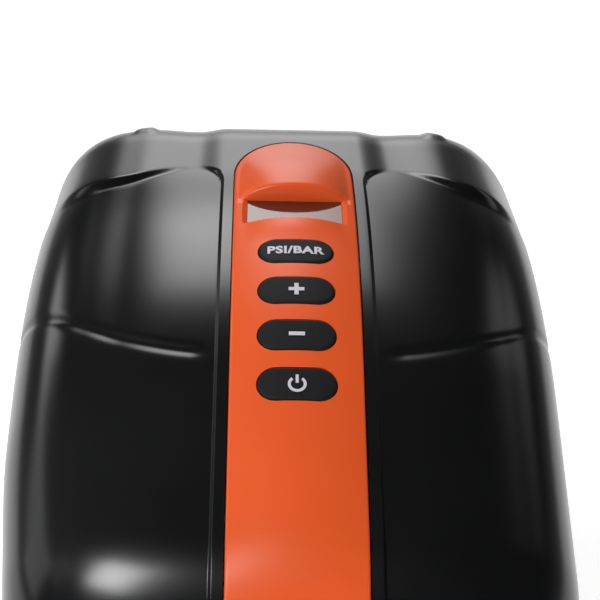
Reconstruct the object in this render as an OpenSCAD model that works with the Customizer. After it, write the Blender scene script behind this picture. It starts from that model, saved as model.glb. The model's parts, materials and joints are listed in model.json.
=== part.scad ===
// Portable two-stage electric inflator: a blower for volume and a piston
// compressor for pressure, in a loaf-shaped housing with a console strip.
// Millimetres, +Z up, the front faces -Y, origin on the floor under the middle.

/* [Body] */
// Width over the side walls
body_w = 160; // [158:1:170]
// Height of the roof line above the floor
roof_z = 167.6; // [166:0.2:172]
// Wall thickness of both housings
wall = 3; // [2.6:0.2:3.2]
// Height of the joint between the two housings
split_z = 58; // [56:1:60]
// Radius of the shoulders between roof and sides
shoulder_r = 34; // [30:1:36]
// Squareness of the shoulders, as an exponent
shoulder_p = 5.7; // [5:0.1:7]
// Height of the rubber feet
foot_h = 6; // [5:0.5:7]

/* [Roof line] */
// Radius of the nose
nose_r = 45; // [42:1:48]
// Slope of the console above the nose, in degrees
slope = 29; // [27:1:31]
// Length of the straight stretch of the console
straight_len = 53; // [50:1:56]
// Radius that turns the console into the roof
roof_r = 190; // [180:5:200]
// Length of the level roof
roof_flat = 27; // [25:0.5:29]
// Radius where the roof starts to fall
tail_r = 73.5; // [70:0.5:77]
// Angle that the tail turns through, in degrees
tail_turn = 38; // [34:1:42]
// Radius between tail and rear wall
rear_r = 42; // [41:1:46]

/* [Console] */
// Width of the console strip
strip_w = 38; // [38:0.5:40]
// Height of the strip's middle above its edges
strip_crown = 2.4; // [1.5:0.1:3]
// Length of the strip's rounded upper end
strip_round = 32; // [30:1:34]
// Thickness of the strip at its edges
strip_t = 2.5; // [2.2:0.1:2.8]
// Extra height of the visor behind the display
visor_h = 3.3; // [2:0.1:4]
// Length of a key, across the strip
key_w = 22.3; // [20:0.1:23]
// Width of a key, along the strip
key_h = 10.6; // [10:0.1:11]
// Distance between keys along the strip
key_pitch = 16.6; // [15:0.1:17]
// Place of the lowest key along the strip
first_key = 44.7; // [43:0.1:46]
// Travel of a key
key_travel = 0.8; // [0.6:0.1:0.8]

/* [Ports] */
// Radius of the hose sockets
port_r = 13.5; // [12:0.5:14]
// Depth of the hose sockets
port_len = 14; // [12:1:14]

/* [Blower] */
// Radius of the blower's scroll
scroll_r = 52; // [50:1:53]
// Radius of the impeller
impeller_r = 44; // [40:1:46]
// Number of impeller blades
impeller_blades = 11; // [7:1:15]

/* [Compressor] */
// Gear module
gear_module = 1.5; // [1.5]
// Teeth on the crank gear
crank_teeth = 40; // [40]
// Teeth on the motor pinion
pinion_teeth = 10; // [10]
// Crank throw, half the piston's stroke
crank_throw = 8; // [6:1:8]
// Distance between the connecting rod's pins
rod_len = 44; // [44]
// Bore radius of the cylinder
bore_r = 12; // [11:0.5:12]

/* [Hidden] */
$fn = 48;

black = [0.05, 0.05, 0.055];
orange = [0.93, 0.36, 0.16];
rubber = [0.03, 0.03, 0.03];
steel = [0.62, 0.63, 0.65];
alloy = [0.75, 0.76, 0.78];
board_green = [0.06, 0.28, 0.14];
grey_plastic = [0.32, 0.33, 0.35];
white_nylon = [0.88, 0.87, 0.82];
brass = [0.78, 0.62, 0.3];

gap = 0.3;
fit = 0.05;

// The roof line, a chain of arcs and straights from the front wall to the rear wall.
depth = nose_r * (1 - sin(slope)) + straight_len * cos(slope) + roof_r * sin(slope) + roof_flat
    + tail_r * sin(tail_turn) + rear_r * (1 - sin(tail_turn));
front_y = -depth / 2;
rear_y = depth / 2;
straight_top_z = roof_z - roof_r * (1 - cos(slope));
straight_low_z = straight_top_z - straight_len * sin(slope);
nose_c = [front_y + nose_r, straight_low_z - nose_r * cos(slope)];
straight_low_y = nose_c[0] - nose_r * sin(slope);
roof_c = [straight_low_y + straight_len * cos(slope) + roof_r * sin(slope), roof_z - roof_r];
tail_c = [roof_c[0] + roof_flat, roof_z - tail_r];
rear_c = [rear_y - rear_r, tail_c[1] + (tail_r - rear_r) * cos(tail_turn)];

function arc_stations(c, r, a0, a1, n) =
    [for (i = [0:n]) let (a = a0 + (a1 - a0) * i / n) [c[0] + r * cos(a), c[1] + r * sin(a), a]];

roof_line = concat(
    [[front_y, split_z, 180]],
    arc_stations(nose_c, nose_r, 180, 90 + slope, 8),
    arc_stations(roof_c, roof_r, 90 + slope, 90, 8),
    arc_stations(tail_c, tail_r, 90, 90 - tail_turn, 6),
    arc_stations(rear_c, rear_r, 82 - tail_turn, 0, 6),
    [[rear_y, split_z, 0]]);

// Place on the console at arc length u above the nose: y, z and the normal's angle.
function roof_at(u) = u < straight_len
    ? [straight_low_y + u * cos(slope), straight_low_z + u * sin(slope), 90 + slope]
    : let (a = 90 + slope - (u - straight_len) / roof_r * 180 / PI)
        [roof_c[0] + roof_r * cos(a), roof_c[1] + roof_r * sin(a), a];

module on_roof(u) {
    place = roof_at(u);
    translate([0, place[0], place[1]]) rotate([place[2] - 90, 0, 0]) children();
}

// Cross section: how far the skin has dropped at the lateral place q, from -1 to 1.
side_columns = 10;
columns = [for (i = [-side_columns:side_columns]) let (t = i / side_columns)
    sign(t) * (1 - pow(1 - abs(t), 2.2))];
function drop(q) = shoulder_r * (1 - sqrt(max(0, 1 - pow(abs(q), shoulder_p))));
function skin_grid(inset) = [for (s = roof_line) for (q = columns)
    [(body_w / 2 - inset) * q, s[0] - (inset + drop(q)) * cos(s[2]), s[1] - (inset + drop(q)) * sin(s[2])]];

// Two triangles for each cell of a grid of n rows and m columns, starting at point number k.
function grid_faces(n, m, k, flip) = [for (i = [0:n - 2]) for (j = [0:m - 2])
    let (a = k + i * m + j, b = a + m, c = b + 1, d = a + 1)
    each flip ? [[a, c, b], [a, d, c]] : [[a, b, c], [a, c, d]]];

// The upper housing's bare shell: outer skin, inner skin, side walls and the rim.
module loft_shell() {
    n = len(roof_line);
    m = len(columns);
    k = n * m;
    last = n - 1;
    polyhedron(
        points = concat(skin_grid(0), skin_grid(wall)),
        faces = concat(
            grid_faces(n, m, 0, false),
            grid_faces(n, m, k, true),
            [[for (i = [last:-1:0]) i * m], [for (i = [0:last]) i * m + m - 1]],
            [[for (i = [0:last]) k + i * m], [for (i = [last:-1:0]) k + i * m + m - 1]],
            [for (j = [0:m - 2]) [j, j + 1, k + j + 1, k + j]],
            [for (j = [0:m - 2]) [last * m + j + 1, last * m + j, k + last * m + j, k + last * m + j + 1]],
            [[0, k, k + last * m, last * m]],
            [[m - 1, last * m + m - 1, k + last * m + m - 1, k + m - 1]]),
        convexity = 8);
}

// Plan outline of the straight walls, set in by inset.
module plan(inset) {
    half_w = body_w / 2 - inset;
    half_d = rear_y - inset;
    polygon(concat(
        [for (q = columns) [half_w * q, -half_d + drop(q)]],
        [for (i = [len(columns) - 1:-1:0]) [half_w * columns[i], half_d - drop(columns[i])]]));
}

// Console strip: where its ends are round, and its height above the roof line.
strip_top_y = roof_c[0] - 5.9;
strip_low_z = 88;
window_u = [110, 124.5];
window_w = 29.4;
window_t = 1.2;
visor_y = roof_at(window_u[1])[0];
visor_len = 40;
crown_run = 30;
function ease(t) = let (c = min(1, max(0, t))) c * c * (3 - 2 * c);
function visor(y, x) = let (t = 2 * x / window_w) y < visor_y || abs(t) > 1 ? 0
    : visor_h * (1 - ease((y - visor_y) / visor_len)) * (1 - 0.25 * pow(t, 2) - 0.35 * pow(t, 4));
function strip_height(y, x) =
    strip_crown * ease((y - front_y) / crown_run) * (1 - pow(2 * x / strip_w, 2)) + visor(y, x);

strip_line = concat(
    [[front_y, strip_low_z - strip_w / 2 - 1, 180]],
    arc_stations(nose_c, nose_r, 180, 90 + slope, 8),
    [for (u = [straight_len / 3, straight_len * 2 / 3]) roof_at(u)],
    [for (u = [straight_len:5:window_u[1] - 0.1]) roof_at(u)],
    [for (u = [window_u[1], window_u[1] + 0.2]) roof_at(u)],
    [for (u = [window_u[1] + 5:6:window_u[1] + 23]) roof_at(u)],
    [for (y = [roof_c[0] + 3:6:tail_c[0] - 3]) [y, roof_z, 90]],
    arc_stations(tail_c, tail_r, 90, 80, 4));
rail_line = [for (s = strip_line) if (s[1] > 100 && s[0] < strip_top_y - 3) s];

module swept_band(line, xs, low, crowned) {
    n = len(line);
    m = len(xs);
    k = n * m;
    tops = [for (s = line) for (x = xs) let (h = crowned ? strip_height(s[0], x) : low + 1.5)
        [x, s[0] + h * cos(s[2]), s[1] + h * sin(s[2])]];
    unders = [for (s = line) for (x = xs) [x, s[0] + low * cos(s[2]), s[1] + low * sin(s[2])]];
    polyhedron(
        points = concat(tops, unders),
        faces = concat(
            grid_faces(n, m, 0, false),
            grid_faces(n, m, k, true),
            [for (j = [0:m - 2]) each [[j, j + 1, k + j + 1], [j, k + j + 1, k + j]]],
            [for (j = [0:m - 2]) let (e = (n - 1) * m + j) each [[e + 1, e, k + e], [e + 1, k + e, k + e + 1]]],
            [for (i = [0:n - 2]) let (e = i * m) each [[e, k + e, k + e + m], [e, k + e + m, e + m]]],
            [for (i = [0:n - 2]) let (e = i * m + m - 1) each [[e, e + m, k + e + m], [e, k + e + m, k + e]]]),
        convexity = 6);
}

// The strip's outline as seen from above and, below the nose, from the front.
module strip_outline(grow) {
    w = strip_w + 2 * grow;
    translate([0, 0, 100]) linear_extrude(100) {
        polygon(concat([[-w / 2, front_y - 20], [w / 2, front_y - 20]],
            [for (a = [0:5:180]) [w / 2 * cos(a), strip_top_y + (strip_round + grow) * sin(a)]]));
    }
    translate([0, -95, 0]) rotate([90, 0, 0]) linear_extrude(60) {
        translate([-w / 2, strip_low_z]) square([w, 101 - strip_low_z]);
        translate([0, strip_low_z]) circle(d = w, $fn = 64);
    }
}

module obround(w, h, t) {
    hull() for (side = [-1, 1]) translate([side * (w - h) / 2, 0, 0]) cylinder(d = h, h = t, $fn = 32);
}

// Places inside the housing.
boss_x = 62;
boss_y = 100;
boss_r = 5;
screw_r = 2;
deflate_y = 30;
deflate_z = 104;
inflate_y = 66;
inflate_z = 76;
port_wall = 3;
port_hole_r = port_r + port_wall + 0.4;
flange_r = port_r + 7;
flange_t = 2;
port_face_x = body_w / 2 - 0.2;
vent_z = 86;
vent_w = 54;
vent_h = 50;
side_slots = 7;

/* Housings */
module boss_places() {
    for (sx = [-1, 1]) for (sy = [-1, 1]) translate([sx * boss_x, sy * boss_y, 0]) children();
}

module upper_housing() {
    boss_top = 84;
    color(black) difference() {
        union() {
            loft_shell();
            boss_places() translate([0, 0, split_z]) cylinder(r = boss_r, h = boss_top - split_z);
            for (sx = [-1, 1]) for (sy = [-1, 1]) hull() {
                translate([sx * (boss_x + boss_r - 1), sy * boss_y - 1, split_z + 5]) cube([0.1, 2, 20]);
                translate([sx * (body_w / 2 - wall + 0.5), sy * (boss_y - 5) - 1, split_z + 5]) cube([0.1, 2, 12]);
            }
            for (sx = [-1, 1]) for (y = [-55, -5]) hull() {
                translate([sx * (body_w / 2 - wall + 0.4), y, split_z + 6]) cube([0.2, 2, 42]);
                translate([sx * (body_w / 2 - wall - 2.5), y, split_z + 10]) cube([0.2, 2, 34]);
            }
        }
        strip_outline(0.25);
        boss_places() translate([0, 0, split_z - 1]) cylinder(r = screw_r + 0.2, h = 20);
        translate([-vent_w / 2, rear_y - 8, vent_z - vent_h / 2]) cube([vent_w, 16, vent_h]);
        translate([0, deflate_y, deflate_z]) rotate([0, -90, 0]) cylinder(r = port_hole_r, h = 100);
        translate([0, inflate_y, inflate_z]) rotate([0, 90, 0]) cylinder(r = port_hole_r, h = 100);
    }
}

plinth_in = 2.5;
plinth_top = 12;
floor_z = foot_h + wall;
lip_h = 4;
module lower_housing() {
    head_seat_z = 20;
    color(black) difference() {
        union() {
            difference() {
                union() {
                    translate([0, 0, foot_h]) linear_extrude(plinth_top - foot_h) plan(plinth_in);
                    translate([0, 0, plinth_top]) linear_extrude(split_z - plinth_top - 0.4) plan(0);
                }
                translate([0, 0, floor_z]) linear_extrude(plinth_top + 3 - floor_z + 0.1) plan(plinth_in + wall);
                translate([0, 0, plinth_top + 3]) linear_extrude(split_z) plan(wall);
            }
            translate([0, 0, split_z - 6]) linear_extrude(6 + lip_h) difference() {
                plan(wall + 0.25);
                plan(wall + 1.6);
            }
            translate([0, 0, split_z - 6]) linear_extrude(4) difference() {
                plan(wall - 0.3);
                plan(wall + 1.6);
            }
            boss_places() translate([0, 0, foot_h]) cylinder(r = boss_r + 1, h = split_z - foot_h - 0.4);
        }
        boss_places() {
            translate([0, 0, foot_h - 1]) cylinder(r = screw_r + 0.3, h = split_z);
            translate([0, 0, foot_h - 1]) cylinder(r = 2 * screw_r + 0.6, h = head_seat_z - foot_h + 1);
            translate([0, 0, split_z - 0.4]) cylinder(r = boss_r + 1.2, h = lip_h + 2);
        }
        foot_places() translate([0, 0, foot_h - 1]) cylinder(r = 9.3, h = 2);
        translate([-vent_w / 2 - 0.5, rear_y - 8, split_z]) cube([vent_w + 1, 8, lip_h + 1]);
        translate([body_w / 2 - 9, inflate_y - 22, inflate_z - flange_r - 1]) cube([9 - wall, 44, 12]);
        for (sx = [-1, 1]) for (i = [0:side_slots - 1])
            translate([sx * body_w / 2 - 5, -52 + i * 7, 22]) cube([10, 3, 24]);
        translate([inlet_x - inlet_w / 2 - 1.7, rear_y - 8, inlet_z - inlet_h / 2 - 1.7])
            cube([inlet_w + 3.4, 16, inlet_h + 3.4]);
    }
}

module foot_places() {
    for (sx = [-1, 1]) for (sy = [-1, 1]) translate([sx * 50, sy * 74, 0]) children();
}

module rubber_feet() {
    color(rubber) foot_places() {
        cylinder(r1 = 8, r2 = 9, h = 3);
        translate([0, 0, 3]) cylinder(r = 9, h = foot_h - 2);
    }
}

module housing_screws() {
    color(steel) boss_places() {
        translate([0, 0, 16.8]) difference() {
            cylinder(r = 2 * screw_r, h = 3.2);
            translate([-0.5, -3, -1]) cube([1, 6, 2.2]);
            translate([-3, -0.5, -1]) cube([6, 1, 2.2]);
        }
        translate([0, 0, 20]) cylinder(r = screw_r, h = 54);
    }
}

/* Console */
key_hole_w = key_w + 0.5;
key_hole_h = key_h + 0.5;
board_len = 72;
board_w = 34;
board_t = 1.6;
board_drop = 12;
key_u = [for (i = [0:3]) first_key + i * key_pitch];
board_a = let (a = roof_at(key_u[0]), b = roof_at(key_u[3])) atan2(b[1] - a[1], b[0] - a[0]);
board_mid = let (a = roof_at(key_u[0]), b = roof_at(key_u[3])) [(a[0] + b[0]) / 2, (a[1] + b[1]) / 2];

// The board's own frame: its top face is local z = 0.
module on_board() {
    translate([0, board_mid[0], board_mid[1]]) rotate([board_a, 0, 0]) translate([0, 0, -board_drop]) children();
}
// Distance below the roof line, along the key's own normal, at which it meets the board.
function board_reach(u) = let (
        p = roof_at(u),
        rel = [p[0] - board_mid[0], p[1] - board_mid[1]],
        height = -rel[0] * sin(board_a) + rel[1] * cos(board_a) + board_drop)
    height / cos(p[2] - 90 - board_a);
// Place along the board where the key's normal meets it.
function board_place(u) = let (
        p = roof_at(u),
        t = board_reach(u),
        hit = [p[0] - t * cos(p[2]) - board_mid[0], p[1] - t * sin(p[2]) - board_mid[1]])
    hit[0] * cos(board_a) + hit[1] * sin(board_a);

switch_h = 4.7;
post_x = 14.2;
post_y = board_len / 2 - 3;
module post_places() {
    for (sx = [-1, 1]) for (sy = [-1, 1]) translate([sx * post_x, sy * post_y, 0]) children();
}

module console_panel() {
    columns_across = [for (i = [-4:4]) i * strip_w / 8];
    rail_low = -wall - 1.7;
    color(orange) difference() {
        union() {
            intersection() {
                swept_band(strip_line, columns_across, -strip_t, true);
                strip_outline(0);
            }
            for (x0 = [-20.8, 16.4]) swept_band(rail_line, [x0, x0 + 4.4], rail_low, false);
            for (x0 = [-18.8, 16.8]) swept_band(rail_line, [x0, x0 + 2], -wall - 0.6, false);
            on_board() post_places() cylinder(r = 2.4, h = board_drop - 3, $fn = 24);
        }
        for (u = key_u) on_roof(u) {
            translate([0, 0, -strip_t - 3]) obround(key_hole_w, key_hole_h, 12);
            translate([0, 0, -strip_t - 8]) obround(key_w + 4.2, key_h + 4.2, 8);
        }
        window_cut();
        on_board() post_places() translate([0, 0, -1]) cylinder(r = 1.3, h = 7, $fn = 24);
    }
}

// The display sits in a flat pocket that the visor overlooks.
window_mid = (window_u[0] + window_u[1]) / 2;
window_len = window_u[1] - window_u[0];
module window_cut() {
    on_roof(window_mid) {
        translate([-window_w / 2, -window_len / 2, -window_t - 0.15]) cube([window_w, window_len, 20]);
        translate([-window_w / 2 + 1.5, -window_len / 2 + 1.5, -10]) cube([window_w - 3, window_len - 3, 12]);
    }
}

module display_window() {
    color([0.55, 0.56, 0.58]) on_roof(window_mid)
        translate([-window_w / 2 + 0.1, -window_len / 2 + 0.1, -window_t - 0.1])
            cube([window_w - 0.2, window_len - 0.2, window_t]);
}

module display_module() {
    color([0.7, 0.74, 0.7]) on_roof(window_mid)
        translate([-window_w / 2 + 2, -window_len / 2 + 2, -window_t - 3.4]) cube([window_w - 4, window_len - 4, 3.2]);
}

module display_board() {
    color(board_green) on_roof(window_mid)
        translate([-16, -window_len / 2 - 0.5, -window_t - 5.4]) cube([32, window_len + 1, 1.6]);
}

module key(u) {
    stem_end = board_reach(u) - switch_h - key_travel - 0.5;
    color(rubber) on_roof(u) {
        translate([0, 0, -strip_t - 0.4]) obround(key_w, key_h, strip_t + 0.4 + strip_crown + 0.5);
        translate([0, 0, -strip_t - 1.6]) obround(key_w + 3, key_h + 3, 1.3);
        translate([0, 0, -stem_end]) cylinder(r = 1.6, h = stem_end);
    }
}
module power_button() { key(key_u[0]); }
module minus_button() { key(key_u[1]); }
module plus_button() { key(key_u[2]); }
module psi_bar_button() { key(key_u[3]); }

module console_board() {
    color(board_green) on_board() difference() {
        translate([-board_w / 2, -board_len / 2, -board_t]) cube([board_w, board_len, board_t]);
        post_places() translate([0, 0, -board_t - 1]) cylinder(r = 1.4, h = board_t + 2);
    }
}

module key_switches() {
    color(steel) for (u = key_u) on_board() translate([0, board_place(u), 0]) {
        translate([-3, -3, 0]) cube([6, 6, 3.5]);
        translate([0, 0, 3.4]) cylinder(r = 1.7, h = switch_h - 3.4);
    }
}

module console_screws() {
    color(steel) on_board() post_places() {
        translate([0, 0, -board_t - 1.6]) cylinder(r = 2.3, h = 1.6);
        translate([0, 0, -board_t - 0.1]) cylinder(r = 1.1, h = 7);
    }
}

/* Cooling */
fan_y = 104;
fan_d = 15;
fan_size = 50;
module vent_grille() {
    slat_count = 8;
    inner_w = vent_w - 7;
    inner_h = vent_h - 7;
    color(black) translate([0, rear_y, vent_z]) {
        difference() {
            translate([-vent_w / 2 + gap, -3.8, -vent_h / 2 + gap]) cube([vent_w - 2 * gap, 3.6, vent_h - 2 * gap]);
            translate([-inner_w / 2, -5, -inner_h / 2]) cube([inner_w, 6, inner_h]);
        }
        for (i = [1:slat_count]) translate([0, -2, -inner_h / 2 + i * inner_h / (slat_count + 1)])
            rotate([35, 0, 0]) translate([-inner_w / 2 - 0.5, -1.8, -0.6]) cube([inner_w + 1, 3.6, 1.2]);
        for (x = [-inner_w / 6, inner_w / 6])
            translate([x - 0.8, -3.6, -inner_h / 2 - 0.5]) cube([1.6, 1.6, inner_h + 1]);
    }
}

module on_fan() { translate([0, fan_y, vent_z]) rotate([-90, 0, 0]) children(); }
module fan_frame() {
    color(grey_plastic) on_fan() difference() {
        union() {
            difference() {
                translate([-fan_size / 2, -fan_size / 2, 0]) cube([fan_size, fan_size, fan_d]);
                translate([0, 0, -1]) cylinder(r = 23.6, h = fan_d + 2);
            }
            translate([0, 0, fan_d - 3]) cylinder(r = 10, h = 2.4);
            for (a = [0:90:270]) rotate([0, 0, a]) translate([6, -1.5, fan_d - 2.8]) cube([18.4, 3, 2]);
        }
        translate([0, 0, fan_d - 5]) cylinder(r = 1.5 + fit, h = 8);
        for (x = [-20.5, 20.5]) for (y = [-20.5, 20.5]) translate([x, y, -1]) cylinder(r = 1.8, h = fan_d + 2);
    }
}

module fan_rotor() {
    color(rubber) on_fan() {
        translate([0, 0, 1.5]) cylinder(r = 10, h = fan_d - 5.1);
        cylinder(r = 1.5, h = fan_d - 0.6);
        for (a = [0:360 / 7:359]) rotate([0, 0, a]) translate([8.5, 0, fan_d / 2 - 1])
            rotate([40, 0, 0]) translate([0, -4.5, -0.6]) cube([14, 9, 1.2]);
    }
}

/* Ports */
seal_out = 2;
module hose_socket(reach) {
    difference() {
        union() {
            cylinder(r = port_r + port_wall, h = reach);
            translate([0, 0, wall + 0.4]) cylinder(r = flange_r, h = flange_t);
        }
        translate([0, 0, -1]) cylinder(r = port_r, h = port_len + 1);
        translate([0, 0, port_len - 1]) cylinder(r = port_r - seal_out - 2.2, h = reach);
        translate([0, 0, port_len - 0.5]) difference() {
            cylinder(r = port_r - seal_out + 1.1, h = 2.7);
            translate([0, 0, -1]) cylinder(r = port_r - seal_out - 1.1, h = 5);
        }
    }
}

// Both sockets end flush with the side walls, looking outwards.
module inflate_port() {
    color(grey_plastic) translate([port_face_x, inflate_y, inflate_z]) rotate([0, -90, 0]) hose_socket(17);
}
module deflate_port() {
    color(grey_plastic) translate([-port_face_x, deflate_y, deflate_z]) rotate([0, 90, 0]) hose_socket(17);
}

module port_seals() {
    seal_r = 1;
    color(rubber) for (p = [[1, inflate_y, inflate_z], [-1, deflate_y, deflate_z]])
        translate([p[0] * (port_face_x - port_len - seal_r - 0.1), p[1], p[2]]) rotate([0, 90, 0])
            rotate_extrude() translate([port_r - seal_out, 0]) circle(r = seal_r, $fn = 24);
}

inlet_x = -48;
inlet_z = 34;
inlet_w = 17;
inlet_h = 10;
inlet_d = 12;
inlet_y = rear_y - drop(inlet_x / (body_w / 2)) - 0.4;
module power_inlet() {
    color(grey_plastic) translate([inlet_x, inlet_y, inlet_z]) difference() {
        union() {
            translate([-inlet_w / 2 - 1.4, -inlet_d - 1.5, -inlet_h / 2 - 1.4])
                cube([inlet_w + 2.8, inlet_d + 1.5, inlet_h + 2.8]);
            translate([-inlet_w / 2 - 4, -wall - 5.9, -inlet_h / 2 - 4]) cube([inlet_w + 8, 2, inlet_h + 8]);
        }
        translate([-inlet_w / 2, -inlet_d, -inlet_h / 2]) cube([inlet_w, inlet_d + 1, inlet_h]);
        for (x = [-4, 4]) translate([x, 1, 0]) rotate([90, 0, 0]) cylinder(r = 1.2, h = inlet_d + 4);
    }
}
module inlet_pins() {
    color(brass) for (x = [-4, 4]) translate([inlet_x + x, inlet_y - 7, inlet_z]) rotate([90, 0, 0])
        cylinder(r = 1.2, h = inlet_d - 1);
}

/* Blower */
blower_x = -5;
blower_y = 30;
scroll_low = 60;
scroll_top = 92;
scroll_t = 2.5;
shaft_r = 2;
duct_r = 16;
duct_bore_r = 13;
outlet_y = blower_y + scroll_r - duct_r;
module at_blower(z) { translate([blower_x, blower_y, z]) children(); }

module blower_motor() {
    color(steel) at_blower(0) difference() {
        union() {
            translate([0, 0, 13]) cylinder(r = 21, h = 44);
            translate([0, 0, 56.9]) cylinder(r = 8, h = 2.8);
            translate([0, 0, 11]) cylinder(r = 7, h = 2.1);
        }
        translate([0, 0, 48]) cylinder(r = shaft_r + fit, h = 20);
    }
}

module blower_shaft() {
    color(alloy) at_blower(48.5) cylinder(r = shaft_r, h = 36);
}

module blower_impeller() {
    color(white_nylon) at_blower(65) difference() {
        union() {
            cylinder(r = impeller_r, h = 2);
            cylinder(r = 7, h = 17);
            for (i = [0:impeller_blades - 1]) rotate([0, 0, i * 360 / impeller_blades])
                translate([16, 0, 1]) rotate([0, 0, 38]) translate([0, -0.8, 0]) cube([30, 1.6, 18]);
        }
        translate([0, 0, -1]) cylinder(r = shaft_r, h = 30);
        difference() {
            translate([0, 0, -1]) cylinder(r = impeller_r + 20, h = 30);
            translate([0, 0, -2]) cylinder(r = impeller_r, h = 32);
        }
    }
}

module scroll_body() {
    color(grey_plastic) difference() {
        union() {
            at_blower(scroll_low) cylinder(r = scroll_r, h = scroll_top - scroll_low - scroll_t, $fn = 96);
            translate([blower_x, outlet_y, inflate_z]) rotate([0, 90, 0]) cylinder(r = duct_r, h = 62.5 - blower_x);
        }
        at_blower(scroll_low + scroll_t) cylinder(r = scroll_r - scroll_t, h = 50, $fn = 96);
        at_blower(scroll_low - 1) cylinder(r = 8.4, h = 10);
        translate([blower_x, outlet_y, inflate_z]) rotate([0, 90, 0]) cylinder(r = duct_bore_r, h = 100);
        translate([-30, outlet_y - 20, scroll_top - scroll_t]) cube([110, 40, 10]);
        translate([tube_x, outlet_y - 10, inflate_z]) rotate([90, 0, 0]) cylinder(r = tube_r + 0.1, h = 20);
    }
}

module scroll_cover() {
    color(grey_plastic) at_blower(scroll_top - scroll_t) difference() {
        cylinder(r = scroll_r, h = scroll_t, $fn = 96);
        translate([0, 0, -1]) cylinder(r = 19, h = 6);
    }
}

module intake_duct() {
    low = scroll_top;
    top = 122;
    t = 2;
    reach = 62.3;
    color(grey_plastic) difference() {
        translate([-reach, blower_y - 24, low]) cube([reach + 20, 48, top - low]);
        translate([-reach + t, blower_y - 24 + t, low + t]) cube([reach + 20 - 2 * t, 48 - 2 * t, top - low - 2 * t]);
        at_blower(low - 1) cylinder(r = 19, h = 10);
        translate([-reach - 1, deflate_y, deflate_z]) rotate([0, 90, 0]) cylinder(r = port_r - 2.5, h = 10);
    }
}

module blower_cradle() {
    color(grey_plastic) at_blower(floor_z) {
        difference() {
            cylinder(r = 24, h = 20);
            translate([0, 0, 4]) cylinder(r = 21, h = 20);
            translate([0, 0, -1]) cylinder(r = 7.3, h = 10);
        }
        for (a = [30:120:270]) rotate([0, 0, a]) {
            translate([23, -2, 0]) cube([21, 4, 3]);
            translate([42, 0, 0]) cylinder(r = 4, h = scroll_low - floor_z);
        }
    }
}

/* Compressor */
crank_x = -28;
crank_z = 52;
bracket_y = -80;
bracket_t = 3;
gear_y = -84;
rod_y = -97;
gear_r = gear_module * crank_teeth / 2;
pinion_r = gear_module * pinion_teeth / 2;
pinion_z = crank_z + gear_r + pinion_r;
wrist_x = crank_x + crank_throw + rod_len;
pin_r = 2;
crown_x = wrist_x + 7.2;
seat_x = crown_x + 1.8;

// A spur gear's outline with straight flanks and room for backlash.
module gear_outline(teeth, phase) {
    r = gear_module * teeth / 2;
    tip = gear_module * 0.95;
    root = gear_module * 1.25;
    pitch_a = 360 / teeth;
    flat = [[r - root, 0.32], [r + tip, 0.12]];
    polygon([for (i = [0:teeth - 1]) each [
        for (p = [[flat[0][0], -flat[0][1]], [flat[1][0], -flat[1][1]],
                [flat[1][0], flat[1][1]], [flat[0][0], flat[0][1]]])
            let (a = (i + phase + p[1]) * pitch_a) [p[0] * cos(a), p[0] * sin(a)]]]);
}

// Turned so that local z runs towards the front, local x stays x and local y is z.
module facing_front(x, y, z) { translate([x, y, z]) rotate([90, 0, 0]) children(); }

module gear_bracket() {
    color(alloy) difference() {
        union() {
            translate([-62, bracket_y, floor_z]) cube([92, bracket_t, 98]);
            translate([-62, bracket_y, floor_z]) cube([92, 26, 3]);
            translate([8, -84, 38]) cube([22, 5, 28]);
        }
        facing_front(crank_x, bracket_y + 10, crank_z) cylinder(r = 5, h = 20);
        facing_front(crank_x, bracket_y + 10, pinion_z) cylinder(r = 6.2, h = 20);
        translate([0, rod_y, crank_z]) rotate([0, 90, 0]) cylinder(r = bore_r + 3.2, h = 60);
    }
}

module crank_bush() {
    color(brass) facing_front(crank_x, bracket_y + bracket_t, crank_z) difference() {
        cylinder(r = 5, h = bracket_t + 0.2);
        translate([0, 0, -1]) cylinder(r = 3 + fit, h = 10);
    }
}

module compressor_motor() {
    color(steel) facing_front(crank_x, bracket_y + bracket_t, pinion_z) difference() {
        union() {
            translate([0, 0, -50]) cylinder(r = 18, h = 50);
            cylinder(r = 6, h = 2);
            translate([0, 0, -53]) cylinder(r = 6, h = 3.1);
        }
        translate([0, 0, -8]) cylinder(r = 1.6 + fit, h = 20);
    }
}

module motor_pinion() {
    color(brass) facing_front(crank_x, bracket_y + bracket_t, pinion_z) {
        translate([0, 0, -7]) cylinder(r = 1.6, h = 12);
        translate([0, 0, 3.6]) linear_extrude(4) gear_outline(pinion_teeth, 0);
    }
}

module crank_gear() {
    color(white_nylon) facing_front(crank_x, bracket_y, crank_z) {
        translate([0, 0, 0.6]) linear_extrude(3.4) gear_outline(crank_teeth, 0);
        translate([0, 0, -6]) cylinder(r = 3, h = 8);
        translate([0, 0, 3.9]) difference() {
            cylinder(r = 13, h = 8.1);
            translate([crank_throw, 0, 5]) cylinder(r = pin_r + 0.4, h = 6);
        }
    }
}

module crank_pin() {
    color(steel) facing_front(crank_x + crank_throw, rod_y + 4.2, crank_z) cylinder(r = pin_r, h = 8);
}

module connecting_rod() {
    color(alloy) facing_front(0, rod_y + 2.5, crank_z) difference() {
        union() {
            translate([crank_x + crank_throw, 0, 0]) cylinder(r = 5, h = 5);
            translate([wrist_x, 0, 0]) cylinder(r = 4, h = 5);
            translate([crank_x + crank_throw, -2, 1]) cube([rod_len, 4, 3]);
        }
        translate([crank_x + crank_throw, 0, -1]) cylinder(r = pin_r, h = 10);
        translate([wrist_x, 0, -1]) cylinder(r = pin_r + fit, h = 10);
    }
}

module wrist_pin() {
    color(steel) facing_front(wrist_x, rod_y + 10.5, crank_z) cylinder(r = pin_r, h = 21);
}

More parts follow.
